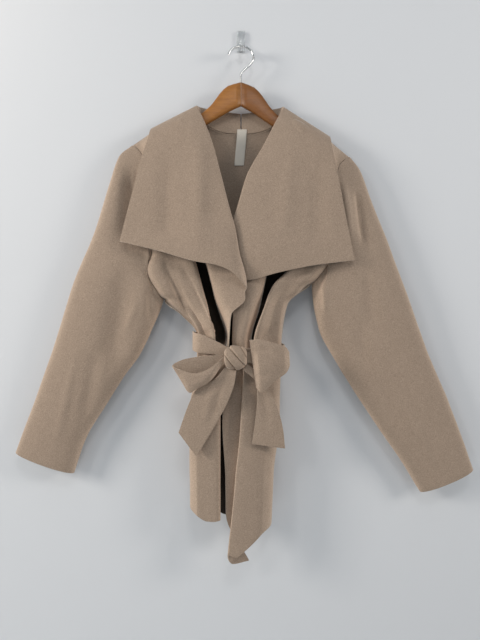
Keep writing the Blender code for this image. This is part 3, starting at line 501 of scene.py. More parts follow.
# ================================================================== fronts
def front_sections(table, hem, sections, lapel):
    """The sections of one front, shoulder first, each a row of points."""
    columns = (len(STATIONS) - 1) * SPAN_COLUMNS + 1
    shoulder = np.zeros((columns, 3))
    body = columns - STAND_COLUMNS
    shoulder[:body] = shoulder_line(sections, lapel, body)
    shoulder[:body, 1] -= SHOULDER_SEAM / 2
    neck = shoulder[body - 1]
    top = np.array(lapel[TOP_ROW][:3], float)
    for column in range(STAND_COLUMNS):
        share = (column + 1) / STAND_COLUMNS
        shoulder[body + column] = neck + (top - neck) * share
    lines = []
    for number, row in enumerate(table):
        side_z, edge_z = row[1], row[2]
        stations = np.zeros((len(STATIONS), 3))
        for place_on, (x, y) in enumerate(row[3:]):
            share = place_on / (len(STATIONS) - 1)
            stations[place_on] = (x, y, side_z + (edge_z - side_z) * share)
            if number == len(table) - 1:
                stations[place_on, 2] -= hem[place_on]
        lines.append(flowing(stations, SPAN_COLUMNS))
    return [shoulder] + turn_over_hanger(shoulder, lines[0]) + lines


def front_grid(table, hem, sections, lapel):
    """One front from the shoulder to the hem, from the side seam to the roll or free edge, and
    the places along the lapel table that its rows meet."""
    side = math.copysign(1.0, table[0][3][0])
    lines = np.array(front_sections(table, hem, sections, lapel))
    grid = through(range(len(lines)), lines, row_places(len(lines)))
    # the edge above the break is the roll line itself
    edge_z = grid[:, -1, 2]
    above = int(np.sum(edge_z > lapel[0][2]))
    places = roll_places(lapel, edge_z[:above])
    places[np.argmin(np.abs(places - CORNER_ROW))] = CORNER_ROW
    roll = through(range(len(lapel)), np.array(lapel, float)[:, :3], places)
    reach = float(SPAN_COLUMNS * ARMHOLE_REACH)
    for line, target in zip(grid, roll):
        shift = target - line[-1]
        for column in range(len(line)):
            line[column] += shift * smooth(1.0 - (len(line) - 1 - column) / reach)
    # the side above the underarm is the armhole seam
    for line in grid:
        follow_armhole(line, sections, side, 1.0)
    return grid, places[::-1]


def lapel_grid(lapel, places):
    """Lapel and collar fall, from the roll line to the outer edge: at the panel's own rows up to
    the shoulder, then on to the centre back."""
    table = np.array(lapel, float)
    beyond = steps(len(table), LAPEL_SPAN_ROWS)
    places = np.concatenate((places, beyond[beyond > TOP_ROW]))
    rows = through(range(len(table)), table, places)
    share = np.linspace(0, 1, LAPEL_WIDTH_COLUMNS + 1) ** ROLL_CROWD
    # the outer edge turns sharply at the lapel's corner
    below = through(range(CORNER_ROW + 1), table[:CORNER_ROW + 1], places)
    above = through(range(len(table) - CORNER_ROW), table[CORNER_ROW:], places - CORNER_ROW)
    corner = np.where((places < CORNER_ROW)[:, None], below, above)[:, 3:6] - rows[:, 3:6]
    grid = []
    for row, sharper in zip(rows, corner):
        roll = row[:3]
        edge = row[3:6]
        line = roll + (edge - roll) * share[:, None]
        line[:, 1] = roll[1] + (edge[1] - roll[1]) * (1 - (1 - share) ** ROLL_HASTE)
        line[:, 1] -= row[6] * np.sin(math.pi * share ** PUFF_LEAN)
        line += sharper * (share ** CORNER_REACH)[:, None]
        grid.append(line)
    return np.array(grid)


def stand_grid(lapel, sections):
    """Back half of the collar stand, from the neck seam up to the roll."""
    side = math.copysign(1.0, lapel[TOP_ROW][0])
    roll = roll_curve(lapel, TOP_ROW, len(lapel) - 1)
    neck_side = shoulder_line(sections, lapel, 2)[-1]
    neck_side[1] -= SHOULDER_SEAM / 2
    neck = neck_line(neck_side, len(roll), side)
    share = np.linspace(0, 1, STAND_COLUMNS + 1)[:, None]
    return np.array([low + (high - low) * share for low, high in zip(neck, roll)])


def neck_line(neck_side, count, side):
    """The back neck seam, from the side of the neck to the centre back."""
    share = np.linspace(0, 1, count)
    line = np.zeros((count, 3))
    reach = abs(neck_side[0]) - CENTRE_BACK
    line[:, 0] = side * (CENTRE_BACK + reach * (1 - share ** NECK_SPREAD))
    fall = np.sin(share * math.pi / 2)
    low = 1 - (1 - share) ** NECK_FALL
    line[:, 2] = neck_side[2] + (NECK_LOW[0] - neck_side[2]) * low
    line[:, 1] = neck_side[1] + (NECK_LOW[1] - neck_side[1]) * fall ** NECK_HASTE
    return line


# ================================================================== back
def back_top():
    """The back's upper edge: shoulder seam, neck seam, shoulder seam."""
    per_side = BACK_COLUMNS // 3
    middle = BACK_COLUMNS - 2 * per_side
    halves = []
    for sections, lapel in ((SLEEVE_RIGHT, LAPEL_RIGHT), (SLEEVE_LEFT, LAPEL_LEFT)):
        shoulder = shoulder_line(sections, lapel, per_side + 1)
        side = math.copysign(1.0, shoulder[0, 0])
        neck = neck_line(shoulder[-1], middle // 2 + 1, side)
        out = neck[:, (0, 2)] - np.array(NECK_CENTRE)
        out *= SEAM / np.linalg.norm(out, axis=1)[:, None]
        neck[:, (0, 2)] += out
        neck[-1, 0] = 0.0
        shoulder[:, 1] += SHOULDER_SEAM / 2
        shoulder[-1] = (shoulder[-2] + neck[1]) / 2
        halves.append(np.vstack((shoulder, neck[1:])))
    return np.vstack((halves[0], halves[1][::-1][1:]))


def side_end(front_line, level_row, sections, side):
    """Where a back section starts: on the armhole, or just past the front's side seam."""
    start = front_line[0]
    if level_row < UNDERARM_ROW:
        return armhole(sections, [-arm_angle(sections[0], start[2])], -side)[0]
    away = start - front_line[1]
    away[2] = 0.0
    return start + away * SIDE_SEAM / np.linalg.norm(away)


def back_grid(right_front, left_front):
    """The back from the shoulder and neck seams to the hem, from the wearer's right to left."""
    top = back_top()
    columns = len(top)
    across = np.linspace(0, 1, columns)
    at_side = np.abs(2 * across - 1) ** SIDE_TURN
    wave = (1 - np.cos(2 * math.pi * BACK_GATHERS * across)) / 2
    lines = []
    for row, (_, gather, plumb) in enumerate(BACK):
        right = side_end(right_front[row], row, SLEEVE_RIGHT, -1.0)
        left = side_end(left_front[row], row, SLEEVE_LEFT, 1.0)
        line = right + (left - right) * across[:, None]
        line[:, 1] = plumb + (line[:, 1] - plumb) * at_side
        line[:, 1] -= gather * wave * (1 - at_side)
        if row == len(BACK) - 1:
            line[:, 2] -= BACK_DROP * np.sin(math.pi * across)
        lines.append(line)
    lines = [top] + turn_over_hanger(top, lines[0]) + lines
    grid = through(range(len(lines)), lines, row_places(len(lines)))
    for line in grid:
        follow_armhole(line, SLEEVE_RIGHT, -1.0, -1.0)
        follow_armhole(line[::-1], SLEEVE_LEFT, 1.0, -1.0)
    return grid


def label_grid():
    """The neck tape, down from the collar stand in front of the back."""
    rows = through([row[0] for row in LABEL_ROWS], [row[1:] for row in LABEL_ROWS],
                   np.linspace(0, LABEL_SIZE[1], LABEL_LINES))
    half = LABEL_SIZE[0] / 2
    grid = []
    for x, y, z in rows:
        grid.append([np.array((x + half * share, y, z)) for share in (-1, -0.33, 0.33, 1)])
    return np.array(grid)


# ================================================================== belt, knot, loops, tails
def belt_grid():
    turns = np.linspace(-180, 180, BELT_COLUMNS + 1)[:-1]
    edges = through([row[0] for row in BELT_EDGES], [row[1:] for row in BELT_EDGES], turns)
    grid = []
    for share in np.linspace(0, 1, BELT_LINES):
        ring = []
        for turn, (upper, lower) in zip(np.radians(turns), edges):
            across, depth = math.cos(turn), math.sin(turn)
            size = (abs(across) ** BELT_POWER + abs(depth) ** BELT_POWER) ** (-1 / BELT_POWER)
            ring.append(np.array((BELT_MIDDLE[0] + BELT_HALF[0] * size * across,
                                  BELT_MIDDLE[1] + BELT_HALF[1] * size * depth,
                                  upper + (lower - upper) * share)))
        grid.append(ring)
    return np.array(grid)


def strip_grid(table):
    """A strip of the belt, ruled between its upper and its lower edge."""
    table = np.array(table, float)
    upper = flowing(table[:, :3], SPAN_ROWS)
    lower = flowing(table[:, 3:], SPAN_ROWS)
    share = np.linspace(0, 1, STRIP_LINES)[:, None]
    return np.array([high + (low - high) * share for high, low in zip(upper, lower)])


def knot_rings():
    """The knot: turns of the belt that lap over each other, slanting down to the wearer's left."""
    rings = []
    ring_count, point_count = KNOT_MESH
    for way in np.linspace(KNOT_END, 1 - KNOT_END, ring_count) * math.pi:
        ring = []
        for turn in np.linspace(0, 2 * math.pi, point_count, endpoint=False):
            wrap = KNOT_WRAPS * (way / math.pi - KNOT_SLANT * math.sin(turn)) + KNOT_START
            across = wrap % 1.0
            lap = smooth(across / KNOT_TUCK) * (1 - KNOT_FALL * across)
            dip = KNOT_FURROW * (1 - lap)
            size = math.sin(way) ** KNOT_BLUNT
            reach = (KNOT_HALF[1] + KNOT_SWELL - dip) * size
            height = (KNOT_HALF[2] + KNOT_SWELL - dip) * size
            ring.append((KNOT_MIDDLE[0] - KNOT_HALF[0] * math.cos(way),
                         KNOT_MIDDLE[1] + reach * math.cos(turn),
                         KNOT_MIDDLE[2] + height * math.sin(turn)))
        rings.append(ring)
    return rings


def arm_rings(side):
    """Sections of one contoured wooden arm, rounded along its top and its lower edge."""
    rows = through(range(len(ARM)), ARM, steps(len(ARM), ARM_ROWS))
    lean = math.tan(math.radians(ARM_TILT))
    rings = []
    for top_x, top_z, low_x, low_z in rows:
        ring = []
        for turn in (np.arange(ARM_POINTS) + 0.5) * 2 * math.pi / ARM_POINTS:
            up, out = math.cos(turn), math.sin(turn)
            up = math.copysign(abs(up) ** ARM_SQUARE[0], up)
            out = math.copysign(abs(out) ** ARM_SQUARE[1], out)
            share = (1 - up) / 2
            across = side * (top_x + (low_x - top_x) * share)
            ring.append((across, HANGER_PLANE + WOOD_THICK / 2 * out,
                         top_z + (low_z - top_z) * share - lean * across))
        rings.append(ring)
    return rings


# ================================================================== creases
CREASE_STEPS = 25          # points of a crease's line
FADE = 0.35                # share of its length over which a crease's end fades out
CREASE_REACH = (1.6, 0.3)  # how soon, and from where, a sleeve's creases fade round its edge
SLEEVE_START = 2.0         # creases reach their height by a section over this from the armhole
BORDER_COLUMNS = 4.0       # and this many columns from a panel's borders
ROLL_START = 6.0           # and by a share of one over this from the roll
STRIP_ENDS = (7.0, 6.0)    # and likewise at the knot, and where a loop turns to its back layer
SWAY_WIDE = 85.0           # size of the wide unevenness of hanging cloth
SWAY_NEAR = 32.0           # size of the near one
SWAY_SHARE = 0.35          # and its height, as a share of the wide one's
SWAY_SLEEVE, SWAY_PANEL, SWAY_LAPEL, SWAY_BACK = 1.2, 1.0, 1.6, 0.8  # heights
CUT_EDGE_ROUND = 0.22      # rounding of a cut edge, as a share of the cloth's thickness
CUT_EDGE_ANGLE = 62.0      # least angle of an edge that is rounded, degrees
WIRE_ROUND = 6             # bevel steps of a wire
PLATE_ROUND = 1.2          # rounding of the wall hook's plate
HELD_NONE, HELD_START, HELD_END = 0, 1, 2  # which end of a crease doesn't fade

# Creases of the cloth, each a bent line seen from the front, in millimetres.
# columns: from_x, from_z, by_x, by_z, to_x, to_z, width, height, lean, ends that don't fade
SLEEVE_RIGHT_FRONT = (
    (-219, -264, -223, -359, -231, -465, 22, -20, 0, HELD_NONE),
    (-227, -465, -245, -586, -271, -711, 26, -13, 0, HELD_NONE),
    (-283, -630, -299, -721, -316, -811, 13, -4, 3, HELD_NONE),
    (-189, -520, -183, -556, -187, -600, 8, -4, 0, HELD_NONE),
    (-189, -443, -184, -465, -189, -492, 6, 5, 0, HELD_NONE),
    (-177, -447, -180, -475, -187, -504, 2.4, -4, 0, HELD_NONE),
    (-201, -490, -179, -510, -153, -548, 2.6, -4.5, 1.5, HELD_END),
    (-209, -542, -223, -586, -243, -626, 7, 3.5, 2, HELD_NONE),
    (-328, -640, -352, -751, -380, -855, 8, 3.5, 0, HELD_NONE),
)
SLEEVE_LEFT_FRONT = (
    (203, -293, 213, -373, 221, -441, 7, 7, 0, HELD_NONE),
    (233, -309, 243, -385, 251, -463, 10, -12, 0, HELD_NONE),
    (257, -459, 263, -550, 273, -654, 17, -6, 0, HELD_NONE),
    (241, -580, 245, -636, 257, -699, 10, -5, 0, HELD_NONE),
    (275, -694, 295, -755, 320, -815, 12, -3.5, -2, HELD_NONE),
    (167, -504, 170, -544, 171, -586, 6, 5, 0, HELD_NONE),
    (125, -534, 143, -586, 169, -650, 6, -5, 0, HELD_START),
    (261, -473, 273, -542, 291, -614, 9, 3.5, 0, HELD_NONE),
    (328, -751, 364, -831, 400, -903, 8, 3, 0, HELD_NONE),
)
FRONT_RIGHT_PANEL = (
    (-155, -463, -127, -531, -89, -610, 6, -4, 5, HELD_END),
    (-137, -465, -107, -535, -71, -606, 8, 4.5, 0, HELD_END),
    (-129, -465, -87, -541, -46, -626, 4, -4.5, 0, HELD_END),
)
FRONT_LEFT_PANEL = (
    (79, -588, 57, -610, 42, -626, 3.5, -4, 2.5, HELD_END),
    (117, -475, 109, -531, 85, -594, 9, 3.5, 0, HELD_NONE),
)
LAPEL_RIGHT_CREASES = (
    (-84, -197, -82, -337, -86, -477, 17, 7, 0, HELD_NONE),
    (-138, -243, -144, -356, -138, -477, 20, -7, 0, HELD_NONE),
)
LAPEL_LEFT_CREASES = (
    (95, -232, 90, -347, 76, -469, 18, 5, 0, HELD_NONE),
    (150, -255, 154, -366, 144, -469, 18, -5, 0, HELD_NONE),
)
SLEEVE_RIGHT_BACK = (
    (-236, -300, -252, -372, -258, -455, 11, -6, 0, HELD_NONE),
    (-290, -470, -312, -560, -330, -640, 18, -4, 0, HELD_NONE),
    (-200, -470, -205, -520, -222, -575, 9, -4, 2, HELD_NONE),
    (-330, -650, -348, -735, -372, -820, 12, 3, 0, HELD_NONE),
)
SLEEVE_LEFT_BACK = (
    (222, -315, 240, -390, 252, -470, 10, -6, 0, HELD_NONE),
    (268, -490, 290, -580, 318, -665, 16, -4, 0, HELD_NONE),
    (180, -505, 186, -560, 205, -610, 8, -4, -2, HELD_NONE),
    (318, -680, 344, -770, 380, -850, 12, 3, 0, HELD_NONE),
)
BACK_CREASES = (
    (-98, -470, -78, -535, -62, -600, 11, 3.5, 0, HELD_NONE),
    (-42, -510, -36, -570, -30, -640, 7, -3.5, 0, HELD_END),
    (7, -490, 5, -550, 2, -600, 9, 3, 0, HELD_NONE),
    (49, -515, 40, -575, 31, -640, 7, -3.5, 0, HELD_END),
    (106, -465, 84, -530, 62, -600, 12, 3.5, 0, HELD_NONE),
    (-50, -680, -60, -790, -64, -920, 12, -4, 0, HELD_START),
    (0, -705, 4, -800, 7, -930, 14, 3.5, 0, HELD_NONE),
    (45, -680, 54, -790, 60, -920, 11, -4, 0, HELD_START),
)
LOOP_RIGHT_CREASES = (
    (-68, -668, -48, -664, -30, -664, 3, -3.5, 0, HELD_END),
    (-62, -700, -84, -701, -104, -706, 5, -2.0, 0, HELD_NONE),
)
LOOP_LEFT_CREASES = (
    (24, -650, 40, -646, 58, -648, 4, -3.0, 0, HELD_START),
    (26, -692, 40, -694, 56, -690, 4, -2.5, 0, HELD_START),
)
TAIL_RIGHT_CREASES = (
    (-52, -712, -62, -750, -74, -800, 7, 3.0, 0, HELD_NONE),
    (-36, -706, -44, -740, -60, -790, 5, -3.0, 0, HELD_NONE),
)
TAIL_LEFT_CREASES = (
    (30, -706, 45, -745, 50, -800, 8, -3.0, 0, HELD_NONE),
)


def unit(vectors):
    return vectors / np.maximum(np.linalg.norm(vectors, axis=-1), 1e-9)[..., None]


def grid_normals(grid, outward, closed=False):
    """Unit normals of a grid of points, on the side that faces outward most."""
    down = np.gradient(grid, axis=0)
    if closed:
        across = (np.roll(grid, -1, axis=1) - np.roll(grid, 1, axis=1)) / 2
    else:
        across = np.gradient(grid, axis=1)
    normals = unit(np.cross(down, across))
    if np.mean(normals @ np.asarray(outward, float)) < 0:
        normals = -normals
    return normals


def crease_lift(grid, creases):
    """How far each point moves outward for the creases drawn over a piece, seen from the front."""
    seen = grid[..., (0, 2)]
    lift = np.zeros(seen.shape[:-1])
    share = np.linspace(0, 1, CREASE_STEPS)
    for x0, z0, x1, z1, x2, z2, width, height, lean, held in creases:
        ends = np.array(((x0, z0), (x2, z2)), float)
        bend = 2 * np.array((x1, z1), float) - ends.mean(axis=0)
        line = (np.outer((1 - share) ** 2, ends[0]) + np.outer(2 * share * (1 - share), bend)
                + np.outer(share ** 2, ends[1]))
        along = unit(np.gradient(line, axis=0))
        away = seen[..., None, :] - line
        distance = np.linalg.norm(away, axis=-1)
        nearest = np.argmin(distance, axis=-1)
        gap = np.take_along_axis(distance, nearest[..., None], -1)[..., 0]
        offset = np.take_along_axis(away, nearest[..., None, None], -2)[..., 0, :]
        way = along[nearest]
        signed = way[..., 0] * offset[..., 1] - way[..., 1] * offset[..., 0]
        place_on = share[nearest]
        fade = np.ones_like(gap)
        if held in (HELD_NONE, HELD_END):
            fade *= smooth(place_on / FADE)
        if held in (HELD_NONE, HELD_START):
            fade *= smooth((1 - place_on) / FADE)
        bell = np.exp(-(gap / width) ** 2)
        lift += fade * bell * (height + lean * signed / width)
    return lift


def sway(grid, size, seed):
    """Slow unevenness of hanging cloth, in millimetres."""
    flat = grid.reshape(-1, 3)
    wide = [noise.noise(Vector(point) / SWAY_WIDE + Vector((seed, 0, 0))) for point in flat]
    near = [noise.noise(Vector(point) / SWAY_NEAR + Vector((0, seed, 0))) for point in flat]
    return size * (np.array(wide) + SWAY_SHARE * np.array(near)).reshape(grid.shape[:-1])


# ================================================================== meshes
def finished_mesh(name, soft):
    """Turn the faces outward and keep the result as a mesh."""
    bmesh.ops.recalc_face_normals(soft, faces=soft.faces)
    mesh = bpy.data.meshes.new(name)
    soft.to_mesh(mesh)
    soft.free()
    return mesh


def grid_mesh(name, grids, closed):
    """A mesh over grids of points, joined where they meet."""
    soft = bmesh.new()
    for grid in grids:
        rows = [[soft.verts.new(point * MM) for point in line] for line in grid]
        columns = len(rows[0])
        for upper, lower in zip(rows[:-1], rows[1:]):
            for column in range(columns if closed else columns - 1):
                right = (column + 1) % columns
                soft.faces.new((upper[column], lower[column], lower[right], upper[right]))
    bmesh.ops.remove_doubles(soft, verts=soft.verts, dist=WELD * MM)
    return finished_mesh(name, soft)


def show(piece, node):
    """Show a piece in place of a CAD node, on the jacket's one body."""
    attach(piece, "root")
    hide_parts(node)


def linked(name, data):
    """An object of the scene over a mesh, a curve, a lamp or a camera."""
    made = bpy.data.objects.new(name, data)
    bpy.context.scene.collection.objects.link(made)
    return made


def place(name, mesh, slot, finishes):
    """Show a mesh in place of the CAD node of its name."""
    for finish in finishes:
        mesh.materials.append(finish)
    mesh.shade_smooth()
    made = linked(name, mesh)
    show(made, name)
    return made


def cloth_piece(name, grids, finishes, thick=CLOTH, closed=False, slot="taupe_cloth"):
    """A cloth shell with raw cut edges over grids of its middle surface."""
    made = place(name, grid_mesh(name, grids, closed), slot, finishes)
    wall = made.modifiers.new("wall", "SOLIDIFY")
    wall.thickness = thick * MM
    wall.offset = 0.0
    # with two finishes the rims take the second one, which on the cloth is the cut edges' paler
    # painted highlight
    wall.material_offset_rim = 1 if len(finishes) > 1 else 0
    soften = made.modifiers.new("cut_edge", "BEVEL")
    soften.width = thick * CUT_EDGE_ROUND * MM
    soften.segments = 2
    soften.limit_method = "ANGLE"
    soften.angle_limit = math.radians(CUT_EDGE_ANGLE)


def solid_piece(name, rings, finishes, slot):
    """A solid through closed rings of points, capped at both ends."""
    soft = bmesh.new()
    loops = [[soft.verts.new(np.asarray(point) * MM) for point in ring] for ring in rings]
    count = len(loops[0])
    for lower, upper in zip(loops[:-1], loops[1:]):
        for column in range(count):
            right = (column + 1) % count
            soft.faces.new((lower[column], lower[right], upper[right], upper[column]))
    soft.faces.new(loops[0])
    soft.faces.new(loops[-1])
    place(name, finished_mesh(name, soft), slot, finishes)


# ================================================================== shader helpers
def feed(tree, node, sockets):
    """Set sockets of a node to values, or link the outputs of other nodes to them."""
    for label, value in sockets.items():
        if isinstance(value, bpy.types.NodeSocket):
            tree.links.new(value, node.inputs[label])
        else:
            node.inputs[label].default_value = value


def shader_node(tree, kind, sockets):
    made = tree.nodes.new("ShaderNode" + kind)
    feed(tree, made, sockets)
    return made


def new_group(name, inputs, outputs):
    """A shader node group over numbers: its inputs with their defaults, and its outputs."""
    group = bpy.data.node_groups.new(name, "ShaderNodeTree")
    for label, default in inputs.items():
        made = group.interface.new_socket(label, in_out="INPUT", socket_type="NodeSocketFloat")
        made.default_value = default
    for label in outputs:
        group.interface.new_socket(label, in_out="OUTPUT", socket_type="NodeSocketFloat")
    return group, group.nodes.new("NodeGroupInput").outputs, group.nodes.new("NodeGroupOutput")


def object_place(tree):
    return tree.nodes.new("ShaderNodeTexCoord").outputs["Object"]


def stretched_place(tree, scale):
    sockets = {"Vector": object_place(tree), "Scale": scale}
    return shader_node(tree, "Mapping", sockets).outputs["Vector"]


def parts_of(tree, vector):
    return shader_node(tree, "SeparateXYZ", {"Vector": vector}).outputs


def noise_node(tree, coordinates, scale, detail, roughness):
    sockets = {"Scale": scale, "Detail": detail, "Roughness": roughness, "Vector": coordinates}
    return shader_node(tree, "TexNoise", sockets).outputs["Fac"]


def maths(tree, operation, first, second):
    made = tree.nodes.new("ShaderNodeMath")
    made.operation = operation
    feed(tree, made, {0: first, 1: second})
    return made.outputs[0]


def weighed(tree, first, first_share, second, second_share):
    """Two values, each times its share, added."""
    return maths(tree, "ADD", maths(tree, "MULTIPLY", first, first_share),
                 maths(tree, "MULTIPLY", second, second_share))


def scaled(tree, value, size, base):
    return maths(tree, "ADD", maths(tree, "MULTIPLY", value, size), base)


def ranged(tree, value, low, high, floor, ceiling, kind="SMOOTHSTEP"):
    """Goes from floor to ceiling as the value goes from low to high."""
    sockets = {"Value": value, "From Min": low, "From Max": high, "To Min": floor,
               "To Max": ceiling}
    made = shader_node(tree, "MapRange", sockets)
    made.interpolation_type = kind
    return made.outputs["Result"]


def ramp(tree, value, stops):
    """A colour ramp over a value; stops are (place, colour)."""
    made = tree.nodes.new("ShaderNodeValToRGB")
    while len(made.color_ramp.elements) > 1:
        made.color_ramp.elements.remove(made.color_ramp.elements[-1])
    made.color_ramp.elements[0].position = stops[0][0]
    made.color_ramp.elements[0].color = (*stops[0][1], 1.0)
    for where, colour in stops[1:]:
        made.color_ramp.elements.new(where).color = (*colour, 1.0)
    tree.links.new(value, made.inputs["Fac"])
    return made.outputs["Color"]


def bumped(tree, height, strength, distance, **under):
    """The normal of a bumped surface, over another normal if one is given as Normal."""
    sockets = {"Height": height, "Strength": strength, "Distance": distance, **under}
    return shader_node(tree, "Bump", sockets).outputs["Normal"]


def dimmed(tree, colour, group):
    """A colour times the light a shader group gives it."""
    share = tree.nodes.new("ShaderNodeGroup")
    share.node_tree = group
    product = tree.nodes.new("ShaderNodeVectorMath")
    product.operation = "SCALE"
    feed(tree, product, {0: colour, "Scale": share.outputs["Light"]})
    return product.outputs["Vector"]


def bare_material(name, sockets):
    made = bpy.data.materials.new(name)
    made.use_nodes = True
    shader = made.node_tree.nodes["Principled BSDF"]
    feed(made.node_tree, shader, sockets)
    return made, made.node_tree, shader


# ================================================================== finishes
def knit_grain_group():
    """Fine felted grain of a double-faced knit: its height, and a slow mottling of its tone."""
    group, given, outputs = new_group("knit_grain", {"Grain Scale": 620.0, "Mottle Scale": 60.0},
                                      ("Height", "Tone"))
    where = object_place(group)
    grain = noise_node(group, where, given["Grain Scale"], 1.0, 0.5)
    mottle = noise_node(group, where, given["Mottle Scale"], 3.0, 0.6)
    feed(group, outputs, {"Height": grain, "Tone": weighed(group, mottle, 0.1, grain, 0.9)})
    return group


def deep_fold_group():
    """How much light reaches the floor of a fold: 1 on the front layers, less far behind them.
    It leaves alone what lies above Top and what faces the wall.  Lengths are in metres."""
    group, given, outputs = new_group(
        "deep_fold", {"Open Depth": 0.050, "Dark Depth": 0.032, "Floor": 0.10, "Top": -0.42,
                      "Reach": 0.03}, ("Light",))
    where = parts_of(group, object_place(group))
    forward = maths(group, "MULTIPLY", where["Y"], -1.0)
    share = ranged(group, forward, given["Dark Depth"], given["Open Depth"], given["Floor"], 1.0)
    top_end = maths(group, "ADD", given["Top"], given["Reach"])
    above = ranged(group, where["Z"], given["Top"], top_end, 0.0, 1.0)
    facing = parts_of(group, group.nodes.new("ShaderNodeNewGeometry").outputs["Normal"])
    rear = ranged(group, facing["Y"], 0.0, 0.3, 0.0, 1.0, kind="LINEAR")
    light = maths(group, "MAXIMUM", share, above)
    feed(group, outputs, {"Light": maths(group, "MAXIMUM", light, rear)})
    return group


def painted_side_light_group():
    """Painted light: the cloth's colour is made paler where it turns away to a side, as if lit from
    the sides, and a little darker where it faces forward.
    """
    group, given, outputs = new_group("painted_side_light", {"Facing": 0.92, "Turned": 1.45}, ("Light",))
    facing = parts_of(group, group.nodes.new("ShaderNodeNewGeometry").outputs["Normal"])
    sideways = maths(group, "ABSOLUTE", facing["X"], 0.0)
    light = ranged(group, sideways, 0.30, 1.0, given["Facing"], given["Turned"])
    feed(group, outputs, {"Light": light})
    return group


def cloth_material(name, grain, dark, light, bump, light_groups):
    made, tree, shader = bare_material(name, {
        "Roughness": 0.92, "Specular IOR Level": 0.15, "Sheen Weight": 1.0,
        "Sheen Roughness": 0.28, "Sheen Tint": (0.95, 0.88, 0.80, 1.0)})
    knit = tree.nodes.new("ShaderNodeGroup")
    knit.node_tree = grain
    colour = ramp(tree, knit.outputs["Tone"], ((0.32, dark), (0.68, light)))
    for group in light_groups:
        colour = dimmed(tree, colour, group)
    drape = noise_node(tree, stretched_place(tree, (1.0, 1.0, 0.45)), 15.0, 1.5, 0.45)
    slack = bumped(tree, drape, 0.55, 0.006)
    relief = bumped(tree, knit.outputs["Height"], bump, 0.0006, Normal=slack)
    feed(tree, shader, {"Base Color": colour, "Normal": relief})
    return made


def label_material():
    made, tree, shader = bare_material("label_tape", {"Roughness": 0.55})
    ribs = shader_node(tree, "TexWave", {"Scale": 450.0, "Vector": object_place(tree)})
    ribs.bands_direction = "Z"
    tone = ribs.outputs["Fac"]
    colour = ramp(tree, tone, ((0.0, (0.60, 0.55, 0.48)), (1.0, (0.72, 0.66, 0.58))))
    feed(tree, shader, {"Base Color": colour, "Normal": bumped(tree, tone, 0.4, 0.0002)})
    return made


def wood_material(name, dark, light):
    made, tree, shader = bare_material(name, {"Coat Weight": 0.05, "Coat Roughness": 0.18})
    along = stretched_place(tree, (0.25, 1.0, 1.6))
    grain = noise_node(tree, along, 130.0, 5.0, 0.62)
    fine = noise_node(tree, along, 700.0, 2.0, 0.5)
    colour = ramp(tree, weighed(tree, grain, 0.7, fine, 0.3), ((0.30, dark), (0.70, light)))
    feed(tree, shader, {"Base Color": colour, "Roughness": scaled(tree, fine, 0.2, 0.38)})
    return made


def chrome_material():
    made, tree, shader = bare_material("chrome_wire", {"Metallic": 1.0})
    wear = noise_node(tree, object_place(tree), 260.0, 3.0, 0.6)
    colour = ramp(tree, wear, ((0.3, (0.50, 0.50, 0.50)), (0.7, (0.68, 0.68, 0.67))))
    feed(tree, shader, {"Base Color": colour, "Roughness": scaled(tree, wear, 0.16, 0.10)})
    return made


def clear_material():
    made, tree, shader = bare_material("clear_plastic", {
        "Base Color": (0.93, 0.95, 0.96, 1.0), "IOR": 1.49, "Transmission Weight": 0.9})
    haze = noise_node(tree, object_place(tree), 400.0, 2.0, 0.5)
    feed(tree, shader, {"Roughness": scaled(tree, haze, 0.1, 0.05)})
    return made


def pale_paint(name, colour):
    """Matt paint, seen from its front only, so that the jacket can be looked at from behind."""
    made, tree, shader = bare_material(name, {
        "Roughness": 0.8, "Specular IOR Level": 0.2, "Base Color": (*colour, 1.0)})
    clear = tree.nodes.new("ShaderNodeBsdfTransparent")
    behind = tree.nodes.new("ShaderNodeNewGeometry").outputs["Backfacing"]
    mix = shader_node(tree, "MixShader", {"Fac": behind, 1: shader.outputs["BSDF"],
                                          2: clear.outputs["BSDF"]})
    feed(tree, tree.nodes["Material Output"], {"Surface": mix.outputs["Shader"]})
    return made


# ================================================================== pieces
def sleeve(name, sections, cloth, front_creases, back_creases, seed):
    """A sleeve, creased on the side that each table is for, and the most far from its edges."""
    rows = through(range(len(sections)), sections, steps(len(sections), SPAN_ROWS))
    angles = np.arange(SLEEVE_POINTS) * 360.0 / SLEEVE_POINTS
    grid = np.array([sleeve_ring(row, angles) for row in rows])
    started = np.arange(len(grid))[:, None] / SPAN_ROWS
    half, level = rows[:, 4:5], rows[:, 5:6]
    out = grid[..., 1] - level
    full = np.sign(out) * half * np.abs(out / half) ** SLEEVE_ROUNDNESS
    grid[..., 1] = level + out + (full - out) * smooth(started)
    swing = armhole_swing(angles, math.copysign(1.0, sections[0][0]))
    grid[..., 0] += swing * smooth(1 - started / SWING_REACH)
    middle = grid.mean(axis=1, keepdims=True)
    normals = grid_normals(grid, (0, 0, 0), closed=True)
    if np.mean(np.sum(normals * (grid - middle), axis=-1)) < 0:
        normals = -normals
    haste, start = CREASE_REACH
    lift = crease_lift(grid, front_creases) * smooth(-normals[..., 1] * haste + start)
    lift += crease_lift(grid, back_creases) * smooth(normals[..., 1] * haste + start)
    lift += sway(grid, SWAY_SLEEVE, seed)
    lift *= smooth(started * SLEEVE_START)
    cloth_piece(name, [grid + normals * lift[..., None]], cloth, closed=True)


